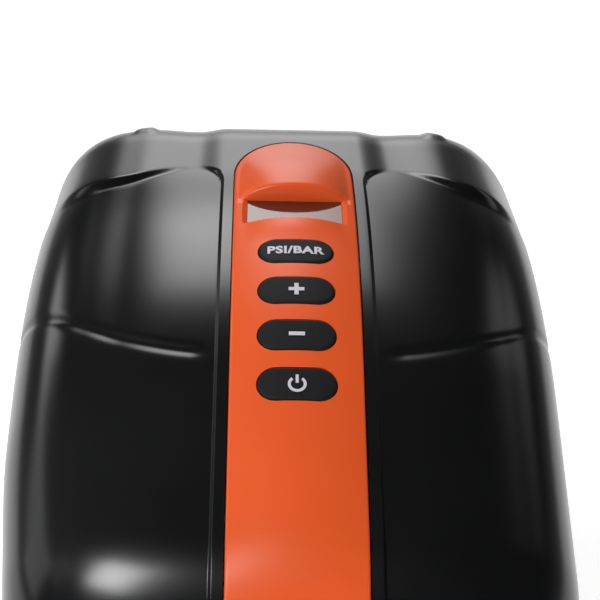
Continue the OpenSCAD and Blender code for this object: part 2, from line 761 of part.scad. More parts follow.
module along_bore(x) { translate([x, rod_y, crank_z]) rotate([0, 90, 0]) children(); }
piston_len = 12.2;
module piston() {
    color(alloy) difference() {
        along_bore(crown_x - piston_len) difference() {
            cylinder(r = bore_r - fit, h = piston_len);
            translate([0, 0, -1]) cylinder(r = 9, h = piston_len - 1.8);
            translate([0, 0, piston_len - 3]) difference() {
                cylinder(r = bore_r + 1, h = 1.6);
                translate([0, 0, -1]) cylinder(r = 10.4, h = 4);
            }
        }
        facing_front(wrist_x, rod_y + 20, crank_z) cylinder(r = pin_r + 0.02, h = 40);
    }
}

module piston_seal() {
    color(rubber) along_bore(crown_x - 3) difference() {
        cylinder(r = bore_r - 0.02, h = 1.6);
        translate([0, 0, -1]) cylinder(r = 10.4, h = 4);
    }
}

module cylinder_tube() {
    along_bore(5) difference() {
        union() {
            cylinder(r = bore_r + 2.6, h = seat_x - 5);
            for (i = [0:5]) translate([0, 0, 3 + i * 4.6]) cylinder(r = bore_r + 3, h = 1.6);
        }
        translate([0, 0, -1]) cylinder(r = bore_r, h = 60);
    }
}
module cylinder_node() { color(alloy) cylinder_tube(); }

head_w = 32;
module head_bolt_places() {
    for (y = [-12.4, 12.4]) for (z = [-12.4, 12.4])
        translate([0, rod_y + y, crank_z + z]) rotate([0, 90, 0]) children();
}
module valve_plate() {
    color(steel) difference() {
        translate([seat_x, rod_y - head_w / 2, crank_z - head_w / 2]) cube([1.5, head_w, head_w]);
        for (z = [-4, 4]) along_bore(seat_x - 1) translate([z, 0, 0]) cylinder(r = 1.5, h = 5);
        translate([seat_x - 1, 0, 0]) head_bolt_places() cylinder(r = 1.5, h = 5);
    }
}

module cylinder_head() {
    color(alloy) difference() {
        union() {
            translate([seat_x + 1.6, rod_y - head_w / 2, crank_z - head_w / 2]) cube([11, head_w, head_w]);
            translate([seat_x + 7, rod_y, crank_z + 15]) cylinder(r = 3.6, h = 6);
        }
        along_bore(seat_x + 1) cylinder(r = 8, h = 6);
        translate([seat_x + 7, rod_y, crank_z + 4]) cylinder(r = 2, h = 30);
        translate([seat_x, 0, 0]) head_bolt_places() cylinder(r = 1.5, h = 30);
    }
}

module head_screws() {
    color(steel) translate([seat_x, 0, 0]) head_bolt_places() {
        translate([0, 0, 0]) cylinder(r = 1.4, h = 14);
        translate([0, 0, 12.7]) cylinder(r = 2.8, h = 2.4);
    }
}

/* Air line */
// A pipe or lead that bends freely, as straight runs with round joints.
module lead(points, r, sides) {
    for (i = [0:len(points) - 2]) hull() for (p = [points[i], points[i + 1]]) translate(p) sphere(r = r, $fn = sides);
}

tube_x = 52;
tube_r = 2.9;
tube_z = inflate_z + 8;
head_out_x = seat_x + 7;
module pressure_tube() {
    color([0.75, 0.75, 0.72]) lead([
        [head_out_x, rod_y, crank_z + 24.2], [head_out_x, rod_y, tube_z - 3], [head_out_x + 3, rod_y, tube_z],
        [tube_x - 4, rod_y, tube_z], [tube_x - 1, rod_y + 1, tube_z], [tube_x, rod_y + 4, tube_z],
        [tube_x, rod_y + 12, tube_z - 1], [tube_x, rod_y + 24, inflate_z + 1], [tube_x, rod_y + 32, inflate_z],
        [tube_x, -42, inflate_z], [tube_x, outlet_y - duct_r + 4, inflate_z]], tube_r, 12);
}

module check_valve() {
    color(white_nylon) translate([tube_x, -40, inflate_z]) rotate([-90, 0, 0]) difference() {
        union() {
            cylinder(r = 6, h = 20);
            translate([0, 0, 7]) cylinder(r = 7.5, h = 6);
        }
        translate([0, 0, -1]) cylinder(r = tube_r + 0.1, h = 30);
    }
}

module pressure_sensor() {
    color(rubber) translate([44, outlet_y + 1, inflate_z + duct_r - 0.1]) {
        translate([-5, -5, 3]) cube([10, 10, 6]);
        cylinder(r = 1.8, h = 3.2);
    }
}

/* Electronics */
board_x = -71;
module main_board() {
    color(board_green) translate([board_x, -42, 14]) cube([1.6, 84, 62]);
}
module heat_sink() {
    color(alloy) translate([board_x + 1.6, -34, 48]) {
        cube([3, 34, 22]);
        for (i = [0:5]) translate([2.9, 1 + i * 6, 0]) cube([9, 2, 22]);
    }
}
module board_capacitors() {
    color([0.15, 0.2, 0.45]) for (y = [12, 24])
        translate([board_x + 1.6, y, 50]) rotate([0, 90, 0]) cylinder(r = 5, h = 14);
}
module relay() {
    color([0.1, 0.25, 0.6]) translate([board_x + 1.6, 8, 24]) cube([12, 19, 15]);
}
module fuse() {
    color([0.75, 0.2, 0.1]) translate([board_x + 1.6, -20, 26]) cube([8, 12, 12]);
}

module wiring() {
    joint_x = board_x + 2.9;
    color([0.6, 0.08, 0.06]) lead([[inlet_x - 4, inlet_y - 19, inlet_z], [inlet_x - 4, 84, inlet_z],
        [board_x + 5, 70, inlet_z], [board_x + 5, 40, 20], [joint_x, 40, 20]], 1.1, 8);
    color(rubber) lead([[inlet_x + 4, inlet_y - 19, inlet_z], [inlet_x + 4, 86, inlet_z], [board_x + 9, 66, 28],
        [board_x + 9, 34, 16], [joint_x, 34, 16]], 1.1, 8);
    color([0.6, 0.08, 0.06]) lead([[joint_x, -36, 40], [board_x + 8, -41, 44], [board_x + 8, -41, 74], [-50, -18, 84],
        [crank_x - 10, -18, pinion_z], [crank_x - 10, -25.8, pinion_z]], 1.1, 8);
    color([0.6, 0.08, 0.06]) lead([[joint_x, -6, 20], [-50, -4, 12], [-34, 14, 12],
        [blower_x - 23, 18, 14]], 1.1, 8);
}

upper_housing();
lower_housing();
console_panel();
display_window();
display_module();
display_board();
power_button();
minus_button();
plus_button();
psi_bar_button();
console_board();
key_switches();
console_screws();
vent_grille();
fan_frame();
fan_rotor();
inflate_port();
deflate_port();
port_seals();
power_inlet();
inlet_pins();
rubber_feet();
housing_screws();
blower_motor();
blower_shaft();
blower_impeller();
scroll_body();
scroll_cover();
intake_duct();
blower_cradle();
compressor_motor();
motor_pinion();
gear_bracket();
crank_bush();
crank_gear();
crank_pin();
connecting_rod();
wrist_pin();
piston();
piston_seal();
cylinder_node();  // cylinder
valve_plate();
cylinder_head();
head_screws();
pressure_tube();
check_valve();
pressure_sensor();
main_board();
heat_sink();
board_capacitors();
relay();
fuse();
wiring();
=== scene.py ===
"""Looks for a two-stage electric inflator: housing, console strip, keys, sockets and studio.

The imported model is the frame. Lengths are worked out in millimetres and put into meshes in metres.
The front faces -Y, X runs across and Z runs up.
"""

import json
import logging
import math
from dataclasses import dataclass, field
from enum import Enum

import bmesh
import bpy
import numpy as np
from mathutils import Matrix, Vector

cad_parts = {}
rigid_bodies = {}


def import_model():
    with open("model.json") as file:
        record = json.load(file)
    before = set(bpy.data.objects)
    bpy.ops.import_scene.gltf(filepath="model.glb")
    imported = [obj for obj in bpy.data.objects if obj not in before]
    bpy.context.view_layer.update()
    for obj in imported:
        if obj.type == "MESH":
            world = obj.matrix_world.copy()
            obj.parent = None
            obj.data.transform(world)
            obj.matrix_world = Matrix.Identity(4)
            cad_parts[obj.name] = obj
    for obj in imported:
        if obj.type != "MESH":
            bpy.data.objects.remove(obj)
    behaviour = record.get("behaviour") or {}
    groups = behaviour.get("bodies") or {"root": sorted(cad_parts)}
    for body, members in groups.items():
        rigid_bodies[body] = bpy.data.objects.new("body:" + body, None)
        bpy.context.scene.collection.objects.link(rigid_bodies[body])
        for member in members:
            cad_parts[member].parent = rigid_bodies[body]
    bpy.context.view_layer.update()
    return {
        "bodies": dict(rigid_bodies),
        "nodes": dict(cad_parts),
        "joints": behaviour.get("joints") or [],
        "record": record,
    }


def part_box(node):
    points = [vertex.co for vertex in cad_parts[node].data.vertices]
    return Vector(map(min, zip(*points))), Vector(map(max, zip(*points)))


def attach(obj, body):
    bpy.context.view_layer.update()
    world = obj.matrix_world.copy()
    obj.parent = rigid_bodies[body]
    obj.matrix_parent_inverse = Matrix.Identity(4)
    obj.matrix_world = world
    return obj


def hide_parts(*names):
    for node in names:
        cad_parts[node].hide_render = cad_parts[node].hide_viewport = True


MM = 0.001
LOG = logging.getLogger("inflator")
Array = np.ndarray
FOOT_AT = (50.0, 74.0)
SCREW_AT = (62.0, 100.0)


# ---------------------------------------------------------------- numbers

def ease(t: Array | float) -> Array:
    """Smooth step: 0 below 0, 1 above 1, and 3 t squared less 2 t cubed between."""
    c = np.clip(t, 0.0, 1.0)
    return c * c * (3.0 - 2.0 * c)


def ramp(value: Array, start: float, stop: float) -> Array:
    """Smooth step of a value: 0 up to start and 1 from stop on, whichever of the two is the larger."""
    return ease((value - start) / (stop - start))


def round_over(distance: Array, radius: float) -> Array:
    """Drop of a quarter-round edge.

    Args:
        distance: how far in from the edge each point lies.
        radius: radius of the round.

    Returns:
        radius less the height of a circle over the edge, and 0 past the round.
    """
    t = np.clip((radius - distance) / radius, 0.0, 1.0)
    return radius * (1.0 - np.sqrt(1.0 - t * t))


def stations(*runs: tuple[float, float, float]) -> Array:
    """Rising numbers made of evenly spaced runs.

    Args:
        runs: (from, to, largest step) for each run.

    Returns:
        All the runs' numbers, sorted, each once.
    """
    parts = [np.linspace(a, b, max(2, int(math.ceil((b - a) / step)) + 1)) for a, b, step in runs]
    return np.unique(np.round(np.concatenate(parts), 5))


def obround(width: float, height: float, sides: int = 24) -> Array:
    """Outline with straight long sides and half-round ends.

    Args:
        width: its length from end to end.
        height: its height, which is twice the ends' radius.
        sides: number of points round each end.

    Returns:
        Plane points round the outline.
    """
    half = np.linspace(-np.pi / 2, np.pi / 2, sides)
    r, run = height / 2, (width - height) / 2
    right = np.stack([run + r * np.cos(half), r * np.sin(half)], -1)
    return np.concatenate([right, -right])


def at_height(ring: Array, height: float) -> Array:
    """Plane points as places in space, all at one height."""
    return np.column_stack([ring, np.full(len(ring), height)])


def spun(profile: list[tuple[float, float]], sides: int) -> Array:
    """Rings of a profile turned about Z: each point's radius is carried round at its height.

    Args:
        profile: (radius, height) of each ring.
        sides: number of points in a ring.

    Returns:
        Rings by points by coordinates.
    """
    spin = np.linspace(0, 2 * np.pi, sides, endpoint=False)
    r, z = np.array(profile, float).T
    x, y = r[:, None] * np.cos(spin), r[:, None] * np.sin(spin)
    return np.stack([x, y, np.repeat(z[:, None], sides, 1)], -1)


# ---------------------------------------------------------------- meshes

def linked(name: str, data: bpy.types.ID) -> bpy.types.Object:
    """A new object in the scene, at the origin.

    Args:
        name: the object's name.
        data: its mesh, curve, camera or light.

    Returns:
        The object.
    """
    piece = bpy.data.objects.new(name, data)
    bpy.context.scene.collection.objects.link(piece)
    return piece


def discard(piece: bpy.types.Object) -> None:
    """Removes an object and its mesh.

    Args:
        piece: the object.
    """
    spent = piece.data
    bpy.data.objects.remove(piece)
    bpy.data.meshes.remove(spent)


def evaluated_mesh(piece: bpy.types.Object) -> bpy.types.Mesh:
    """A new mesh of an object as its modifiers leave it.

    Args:
        piece: the object.

    Returns:
        The mesh.
    """
    graph = bpy.context.evaluated_depsgraph_get()
    graph.update()
    return bpy.data.meshes.new_from_object(piece.evaluated_get(graph))


def tidy_mesh(mesh: bpy.types.Mesh, outward: bool = True, merge: float = 2e-6) -> None:
    """Merges doubles, drops collapsed faces and turns the faces outwards.

    Args:
        mesh: the mesh, which is changed.
        outward: whether the normals are worked out again.
        merge: distance in metres within which points become one.
    """
    work = bmesh.new()
    work.from_mesh(mesh)
    bmesh.ops.remove_doubles(work, verts=work.verts, dist=merge)
    bmesh.ops.dissolve_degenerate(work, edges=work.edges, dist=merge / 4)
    if outward:
        bmesh.ops.recalc_face_normals(work, faces=work.faces)
    work.to_mesh(mesh)
    work.free()
    mesh.update()


def shade(mesh: bpy.types.Mesh, angle: float = 32.0) -> None:
    """Smooth shading with hard edges where faces meet at more than angle degrees."""
    mesh.shade_smooth()
    mesh.set_sharp_from_angle(angle=math.radians(angle))


def mesh_object(name: str, points: Array, faces: list[list[int]]) -> bpy.types.Object:
    """An object at the origin, tidied and shaded.

    Args:
        name: the object's name.
        points: places in millimetres.
        faces: point numbers round each face, of any count.

    Returns:
        The object.
    """
    mesh = bpy.data.meshes.new(name)
    mesh.from_pydata((np.asarray(points, float).reshape(-1, 3) * MM).tolist(), [], faces)
    tidy_mesh(mesh)
    shade(mesh)
    return linked(name, mesh)


def grid_quads(rows: int, columns: int, start: int = 0, wrap: bool = False) -> list[list[int]]:
    """Four-sided faces of a grid of points stored row by row.

    Args:
        rows: number of rows.
        columns: number of points in a row.
        start: number of the grid's first point.
        wrap: whether the last column joins the first.

    Returns:
        A list of faces as point numbers.
    """
    across = np.arange(columns if wrap else columns - 1)
    i, j = np.meshgrid(np.arange(rows - 1), across, indexing="ij")
    nxt = (j + 1) % columns
    quads = np.stack([i * columns + j, (i + 1) * columns + j, (i + 1) * columns + nxt, i * columns + nxt], -1)
    return (quads.reshape(-1, 4) + start).tolist()


def border(rows: int, columns: int) -> Array:
    """Numbers of the points round the edge of a grid stored row by row."""
    return np.concatenate([
        np.arange(columns), np.arange(1, rows) * columns + columns - 1,
        (rows - 1) * columns + np.arange(columns - 2, -1, -1), np.arange(rows - 2, 0, -1) * columns])


def loft(name: str, rings: Array) -> bpy.types.Object:
    """A closed solid through closed rings of points, capped flat at both ends.

    Args:
        name: the object's name.
        rings: array of rings, points and coordinates, in millimetres.

    Returns:
        The object.
    """
    count, size = rings.shape[:2]
    last = (count - 1) * size
    faces = grid_quads(count, size, wrap=True)
    faces += [list(range(size)), list(range(last + size - 1, last - 1, -1))]
    return mesh_object(name, rings, faces)


def slab(name: str, tops: Array, unders: Array) -> bpy.types.Object:
    """A closed solid between two grids of the same layout, walled round its border.

    Args:
        name: the object's name.
        tops: the upper grid: rows, columns and coordinates, in millimetres.
        unders: the lower grid.

    Returns:
        The object.
    """
    rows, columns = tops.shape[:2]
    count = rows * columns
    faces = grid_quads(rows, columns) + grid_quads(rows, columns, count)
    edge = border(rows, columns)
    nxt = np.roll(edge, -1)
    faces += np.stack([edge, nxt, nxt + count, edge + count], -1).tolist()
    return mesh_object(name, np.concatenate([tops.reshape(-1, 3), unders.reshape(-1, 3)]), faces)


def turned(name: str, profile: list[tuple[float, float]], sides: int = 72) -> bpy.types.Object:
    """A solid turned about Z from (radius, height) points, with flat ends."""
    return loft(name, spun(profile, sides))


def block(low: tuple[float, float, float], high: tuple[float, float, float]) -> bpy.types.Object:
    """A plain cutter between two corners.

    Args:
        low: the corner with the smallest coordinates, in millimetres.
        high: the corner with the largest.

    Returns:
        The cutter.
    """
    (x0, y0, z0), (x1, y1, z1) = low, high
    ring = [(x0, y0), (x1, y0), (x1, y1), (x0, y1)]
    return loft("cutter", np.array([[(x, y, z) for x, y in ring] for z in (z0, z1)]))


def place(piece: bpy.types.Object, matrix: Matrix) -> bpy.types.Object:
    """Moves the mesh itself, so that the object stays at the origin.

    Args:
        piece: the object.
        matrix: the move, in millimetres.

    Returns:
        The same object. A mirrored mesh has its faces turned outwards again.
    """
    scale = Matrix.Scale(MM, 4)
    piece.data.transform(scale @ matrix @ scale.inverted())
    if matrix.determinant() < 0:
        piece.data.flip_normals()
    return piece


def carve(piece: bpy.types.Object, cutters: list[bpy.types.Object], merge: float = 1e-6) -> bpy.types.Object:
    """Takes closed cutters away from a closed piece, and removes the cutters.

    Args:
        piece: the piece that is cut.
        cutters: the closed solids to take away.
        merge: distance in metres within which points become one after the cut.

    Returns:
        The same object with its new mesh.
    """
    for cutter in cutters:
        cut = piece.modifiers.new("cut", "BOOLEAN")
        cut.operation = "DIFFERENCE"
        cut.solver = "MANIFOLD"
        cut.object = cutter
    mesh = evaluated_mesh(piece)
    piece.modifiers.clear()
    old = piece.data
    piece.data = mesh
    mesh.name = piece.name
    bpy.data.meshes.remove(old)
    for cutter in cutters:
        discard(cutter)
    tidy_mesh(mesh, outward=False, merge=merge)
    shade(mesh)
    return piece


def join(name: str, parts: list[bpy.types.Object]) -> bpy.types.Object:
    """One object from several closed ones, whose meshes are put side by side.

    Args:
        name: the new object's name.
        parts: the objects, which are removed.

    Returns:
        The new object.
    """
    work = bmesh.new()
    for part in parts:
        work.from_mesh(part.data)
    mesh = bpy.data.meshes.new(name)
    work.to_mesh(mesh)
    work.free()
    for part in parts:
        discard(part)
    shade(mesh)
    return linked(name, mesh)


# ---------------------------------------------------------------- finishes

class Grain(Enum):
    """Kinds of fine surface relief."""

    SMOOTH = "smooth"
    SPARK = "spark"
    BRUSHED = "brushed"


@dataclass(frozen=True)
class Finish:
    """A material: colour with slow variation, uneven gloss and a fine relief."""

    name: str
    colour: tuple[float, float, float]
    roughness: float
    metallic: float = 0.0
    grain: Grain = Grain.SMOOTH
    relief: float = 0.02
    scale: float = 900.0
    drift: float = 0.12
    wear: float = 0.06
    coat: float = 0.0
    specular: float = 0.5
    coat_roughness: float = 0.08
    drift_scale: float = 28.0
    relief_depth: float = 0.0002
    brush_stretch: float = 0.06

    def build(self) -> bpy.types.Material:
        """Makes the node material, once.

        Returns:
            The material.
        """
        found = bpy.data.materials.get(self.name)
        if found:
            return found
        material = bpy.data.materials.new(self.name)
        material.use_nodes = True
        material.diffuse_color = (*self.colour, 1.0)
        tree = material.node_tree
        shader = tree.nodes["Principled BSDF"]
        shader.inputs["Metallic"].default_value = self.metallic
        shader.inputs["Coat Weight"].default_value = self.coat
        shader.inputs["Coat Roughness"].default_value = self.coat_roughness
        shader.inputs["Specular IOR Level"].default_value = self.specular
        where = tree.nodes.new("ShaderNodeTexCoord")
        spread = tree.nodes.new("ShaderNodeMapping")
        stretch = self.brush_stretch if self.grain is Grain.BRUSHED else 1.0
        spread.inputs["Scale"].default_value = (1.0, stretch, 1.0)
        tree.links.new(where.outputs["Object"], spread.inputs["Vector"])
        slow = self._noise(tree, spread, self.drift_scale, 3.0)
        self._colour(tree, slow, shader)
        self._gloss(tree, slow, shader)
        self._relief(tree, spread, shader)
        return material

    def _colour(self, tree: bpy.types.NodeTree, slow: bpy.types.Node, shader: bpy.types.Node) -> None:
        """Runs the base colour from a little darker to a little lighter.

        Args:
            tree: the material's nodes.
            slow: the slow noise.
            shader: the surface shader.
        """
        mix = tree.nodes.new("ShaderNodeValToRGB")
        dark = tuple(c * (1.0 - self.drift) for c in self.colour)
        light = tuple(min(1.0, c * (1.0 + self.drift)) for c in self.colour)
        for stop, position, colour in zip(mix.color_ramp.elements, (0.3, 0.7), (dark, light)):
            stop.position, stop.color = position, (*colour, 1.0)
        tree.links.new(slow.outputs["Fac"], mix.inputs["Fac"])
        tree.links.new(mix.outputs["Color"], shader.inputs["Base Color"])

    def _gloss(self, tree: bpy.types.NodeTree, slow: bpy.types.Node, shader: bpy.types.Node) -> None:
        """Runs the roughness by the wear to each side of its middle.

        Args:
            tree: the material's nodes.
            slow: the slow noise.
            shader: the surface shader.
        """
        gloss = tree.nodes.new("ShaderNodeMapRange")
        gloss.inputs["To Min"].default_value = max(0.02, self.roughness - self.wear)
        gloss.inputs["To Max"].default_value = min(1.0, self.roughness + self.wear)
        tree.links.new(slow.outputs["Fac"], gloss.inputs["Value"])
        tree.links.new(gloss.outputs["Result"], shader.inputs["Roughness"])

    def _relief(self, tree: bpy.types.NodeTree, spread: bpy.types.Node, shader: bpy.types.Node) -> None:
        """Raises the surface by a fine noise, or by cells where the grain is sparked.

        Args:
            tree: the material's nodes.
            spread: the stretched coordinates.
            shader: the surface shader.
        """
        bump = tree.nodes.new("ShaderNodeBump")
        bump.inputs["Strength"].default_value = self.relief
        bump.inputs["Distance"].default_value = self.relief_depth
        if self.grain is Grain.SPARK:
            cells = tree.nodes.new("ShaderNodeTexVoronoi")
            cells.inputs["Scale"].default_value = self.scale
            tree.links.new(spread.outputs["Vector"], cells.inputs["Vector"])
            height = cells.outputs["Distance"]
        else:
            height = self._noise(tree, spread, self.scale, 4.0).outputs["Fac"]
        tree.links.new(height, bump.inputs["Height"])
        tree.links.new(bump.outputs["Normal"], shader.inputs["Normal"])

    @staticmethod
    def _noise(tree: bpy.types.NodeTree, spread: bpy.types.Node, scale: float,
               detail: float) -> bpy.types.Node:
        """A noise texture on the stretched coordinates.

        Args:
            tree: the material's nodes.
            spread: the stretched coordinates.
            scale: waves in a metre.
            detail: number of finer layers.

        Returns:
            The noise node.
        """
        noise = tree.nodes.new("ShaderNodeTexNoise")
        noise.inputs["Scale"].default_value = scale
        noise.inputs["Detail"].default_value = detail
        tree.links.new(spread.outputs["Vector"], noise.inputs["Vector"])
        return noise


SATIN_BLACK = Finish("satin_black_plastic", (0.006, 0.0062, 0.0067), 0.24,
                     relief=0.005, scale=1500, drift=0.1, wear=0.03)
CONSOLE_ORANGE = Finish("console_orange_plastic", (0.95, 0.12, 0.022), 0.36,
                        relief=0.02, scale=1300, drift=0.03, wear=0.04, specular=0.35)
KEY_RUBBER = Finish("key_silicone", (0.010, 0.0105, 0.012), 0.55,
                    grain=Grain.SPARK, relief=0.05, scale=2600, wear=0.05, specular=0.2)
FOOT_RUBBER = Finish("foot_rubber", (0.02, 0.02, 0.02), 0.8, grain=Grain.SPARK, relief=0.15, scale=1600)
MARK_INK = Finish("mark_ink", (0.72, 0.7, 0.78), 0.55, relief=0.02, drift=0.03)
# The display glass's reddish-brown base colour is a painted reflection of the orange visor wall and its
# shade.
DISPLAY_GLASS_PAINTED_REFLECTION = Finish("display_glass_painted_reflection", (0.13, 0.028, 0.015), 0.07, relief=0.0, drift=0.04, wear=0.02)
GREY_NYLON = Finish("grey_glass_nylon", (0.09, 0.093, 0.1), 0.5, grain=Grain.SPARK, relief=0.08, scale=1800)
WHITE_NYLON = Finish("white_nylon", (0.72, 0.7, 0.64), 0.45, relief=0.05)
DARK_PLASTIC = Finish("dark_plastic", (0.03, 0.03, 0.033), 0.45, relief=0.05)
BOARD_GREEN = Finish("board_laminate", (0.02, 0.13, 0.05), 0.35, relief=0.04, coat=0.3)
STEEL = Finish("machined_steel", (0.55, 0.56, 0.58), 0.28, 1.0, Grain.BRUSHED, 0.06, 1500)
ALLOY = Finish("cast_alloy", (0.62, 0.63, 0.66), 0.42, 1.0, Grain.SPARK, 0.15, 1100)
BRASS = Finish("plated_brass", (0.72, 0.5, 0.18), 0.25, 1.0, Grain.BRUSHED, 0.05, 1500)
SILICONE = Finish("silicone_tube", (0.6, 0.6, 0.56), 0.4, relief=0.04)
WIRE_SLEEVE = Finish("wire_sleeve", (0.35, 0.03, 0.025), 0.45, relief=0.05)
CAN_BLUE = Finish("can_sleeve_blue", (0.02, 0.06, 0.22), 0.3, relief=0.03)
LCD_FACE = Finish("liquid_crystal_face", (0.4, 0.44, 0.38), 0.3, relief=0.01)


# ---------------------------------------------------------------- shape of the body

@dataclass
class RoofLine:
    """The side view: a chain of straights and arcs from the front wall over the roof to the rear wall."""

    split_z: float = 58.0
    roof_z: float = 167.6
    nose_r: float = 45.0
    slope: float = 29.0
    straight: float = 53.0
    roof_r: float = 190.0
    flat: float = 27.0
    tail_r: float = 73.5
    tail_turn: float = 38.0
    rear_r: float = 42.0

    def __post_init__(self) -> None:
        """Works out the arcs' centres and the lengths of the eight stretches."""
        sl, tt = math.radians(self.slope), math.radians(self.tail_turn)
        depth = (self.nose_r * (1 - math.sin(sl)) + self.straight * math.cos(sl) + self.roof_r * math.sin(sl)
                 + self.flat + self.tail_r * math.sin(tt) + self.rear_r * (1 - math.sin(tt)))
        self.front_y, self.rear_y = -depth / 2, depth / 2
        top_z = self.roof_z - self.roof_r * (1 - math.cos(sl))
        low_z = top_z - self.straight * math.sin(sl)
        nose = (self.front_y + self.nose_r, low_z - self.nose_r * math.cos(sl))
        low_y = nose[0] - self.nose_r * math.sin(sl)
        roof_y = low_y + self.straight * math.cos(sl) + self.roof_r * math.sin(sl)
        tail = (roof_y + self.flat, self.roof_z - self.tail_r)
        rear_z = tail[1] + (self.tail_r - self.rear_r) * math.cos(tt)
        half = math.pi / 2
        # start y, start z, start angle of the normal, length, bend per length
        self.parts = [
            (self.front_y, self.split_z, math.pi, nose[1] - self.split_z, 0.0),
            (self.front_y, nose[1], math.pi, self.nose_r * (half - sl), 1 / self.nose_r),
            (low_y, low_z, half + sl, self.straight, 0.0),
            (roof_y - self.roof_r * math.sin(sl), top_z, half + sl, self.roof_r * sl, 1 / self.roof_r),
            (roof_y, self.roof_z, half, self.flat, 0.0),
            (tail[0], self.roof_z, half, self.tail_r * tt, 1 / self.tail_r),
            (tail[0] + self.tail_r * math.sin(tt), tail[1] + self.tail_r * math.cos(tt), half - tt,
             self.rear_r * (half - tt), 1 / self.rear_r),
            (self.rear_y, rear_z, 0.0, rear_z - self.split_z, 0.0)]
        lengths = [part[3] for part in self.parts]
        self.starts = np.concatenate([[0.0], np.cumsum(lengths)])
        self.total = float(self.starts[-1])
        self.console_start = float(self.starts[2])
        self.roof_y = roof_y

    def at(self, length: Array | float) -> tuple[Array, Array, Array]:
        """Point and normal at each arc length.

        Args:
            length: arc lengths from the front wall's lower edge.

        Returns:
            y, z and the angle of the outward normal, in radians. A straight steps along its direction,
            and an arc turns its normal by length over radius.
        """
        s = np.atleast_1d(np.asarray(length, float))
        y, z, angle = np.zeros_like(s), np.zeros_like(s), np.zeros_like(s)
        index = np.clip(np.searchsorted(self.starts, s, side="right") - 1, 0, len(self.parts) - 1)
        for k, (y0, z0, a0, _, bend) in enumerate(self.parts):
            here = index == k
            t = s[here] - self.starts[k]
            a = a0 - t * bend
            if bend:
                y[here] = y0 + (np.cos(a) - math.cos(a0)) / bend
                z[here] = z0 + (np.sin(a) - math.sin(a0)) / bend
            else:
                y[here] = y0 + t * math.sin(a0)
                z[here] = z0 - t * math.cos(a0)
            angle[here] = a
        return y, z, angle

    def length_where(self, axis: int, value: float, low: float, high: float) -> float:
        """Arc length at which a coordinate comes nearest to a value.

        Args:
            axis: 0 for y and 1 for z.
            value: the coordinate looked for, in millimetres.
            low: where the search starts.
            high: where it ends.

        Returns:
            The best of 4001 evenly spaced arc lengths.
        """
        s = np.linspace(low, high, 4001)
        values = self.at(s)[axis]
        return float(s[np.argmin(np.abs(values - value))])

    def frame(self, u: float) -> Matrix:
        """Axes of a place on the console.

        Args:
            u: arc length above the console's start.

        Returns:
            A matrix with X across, Y up the slope and Z outwards.
        """
        y, z, a = (float(v[0]) for v in self.at(self.console_start + u))
        sine, cosine = math.sin(a), math.cos(a)
        return Matrix(((1, 0, 0, 0), (0, sine, cosine, y), (0, -cosine, sine, z), (0, 0, 0, 1)))


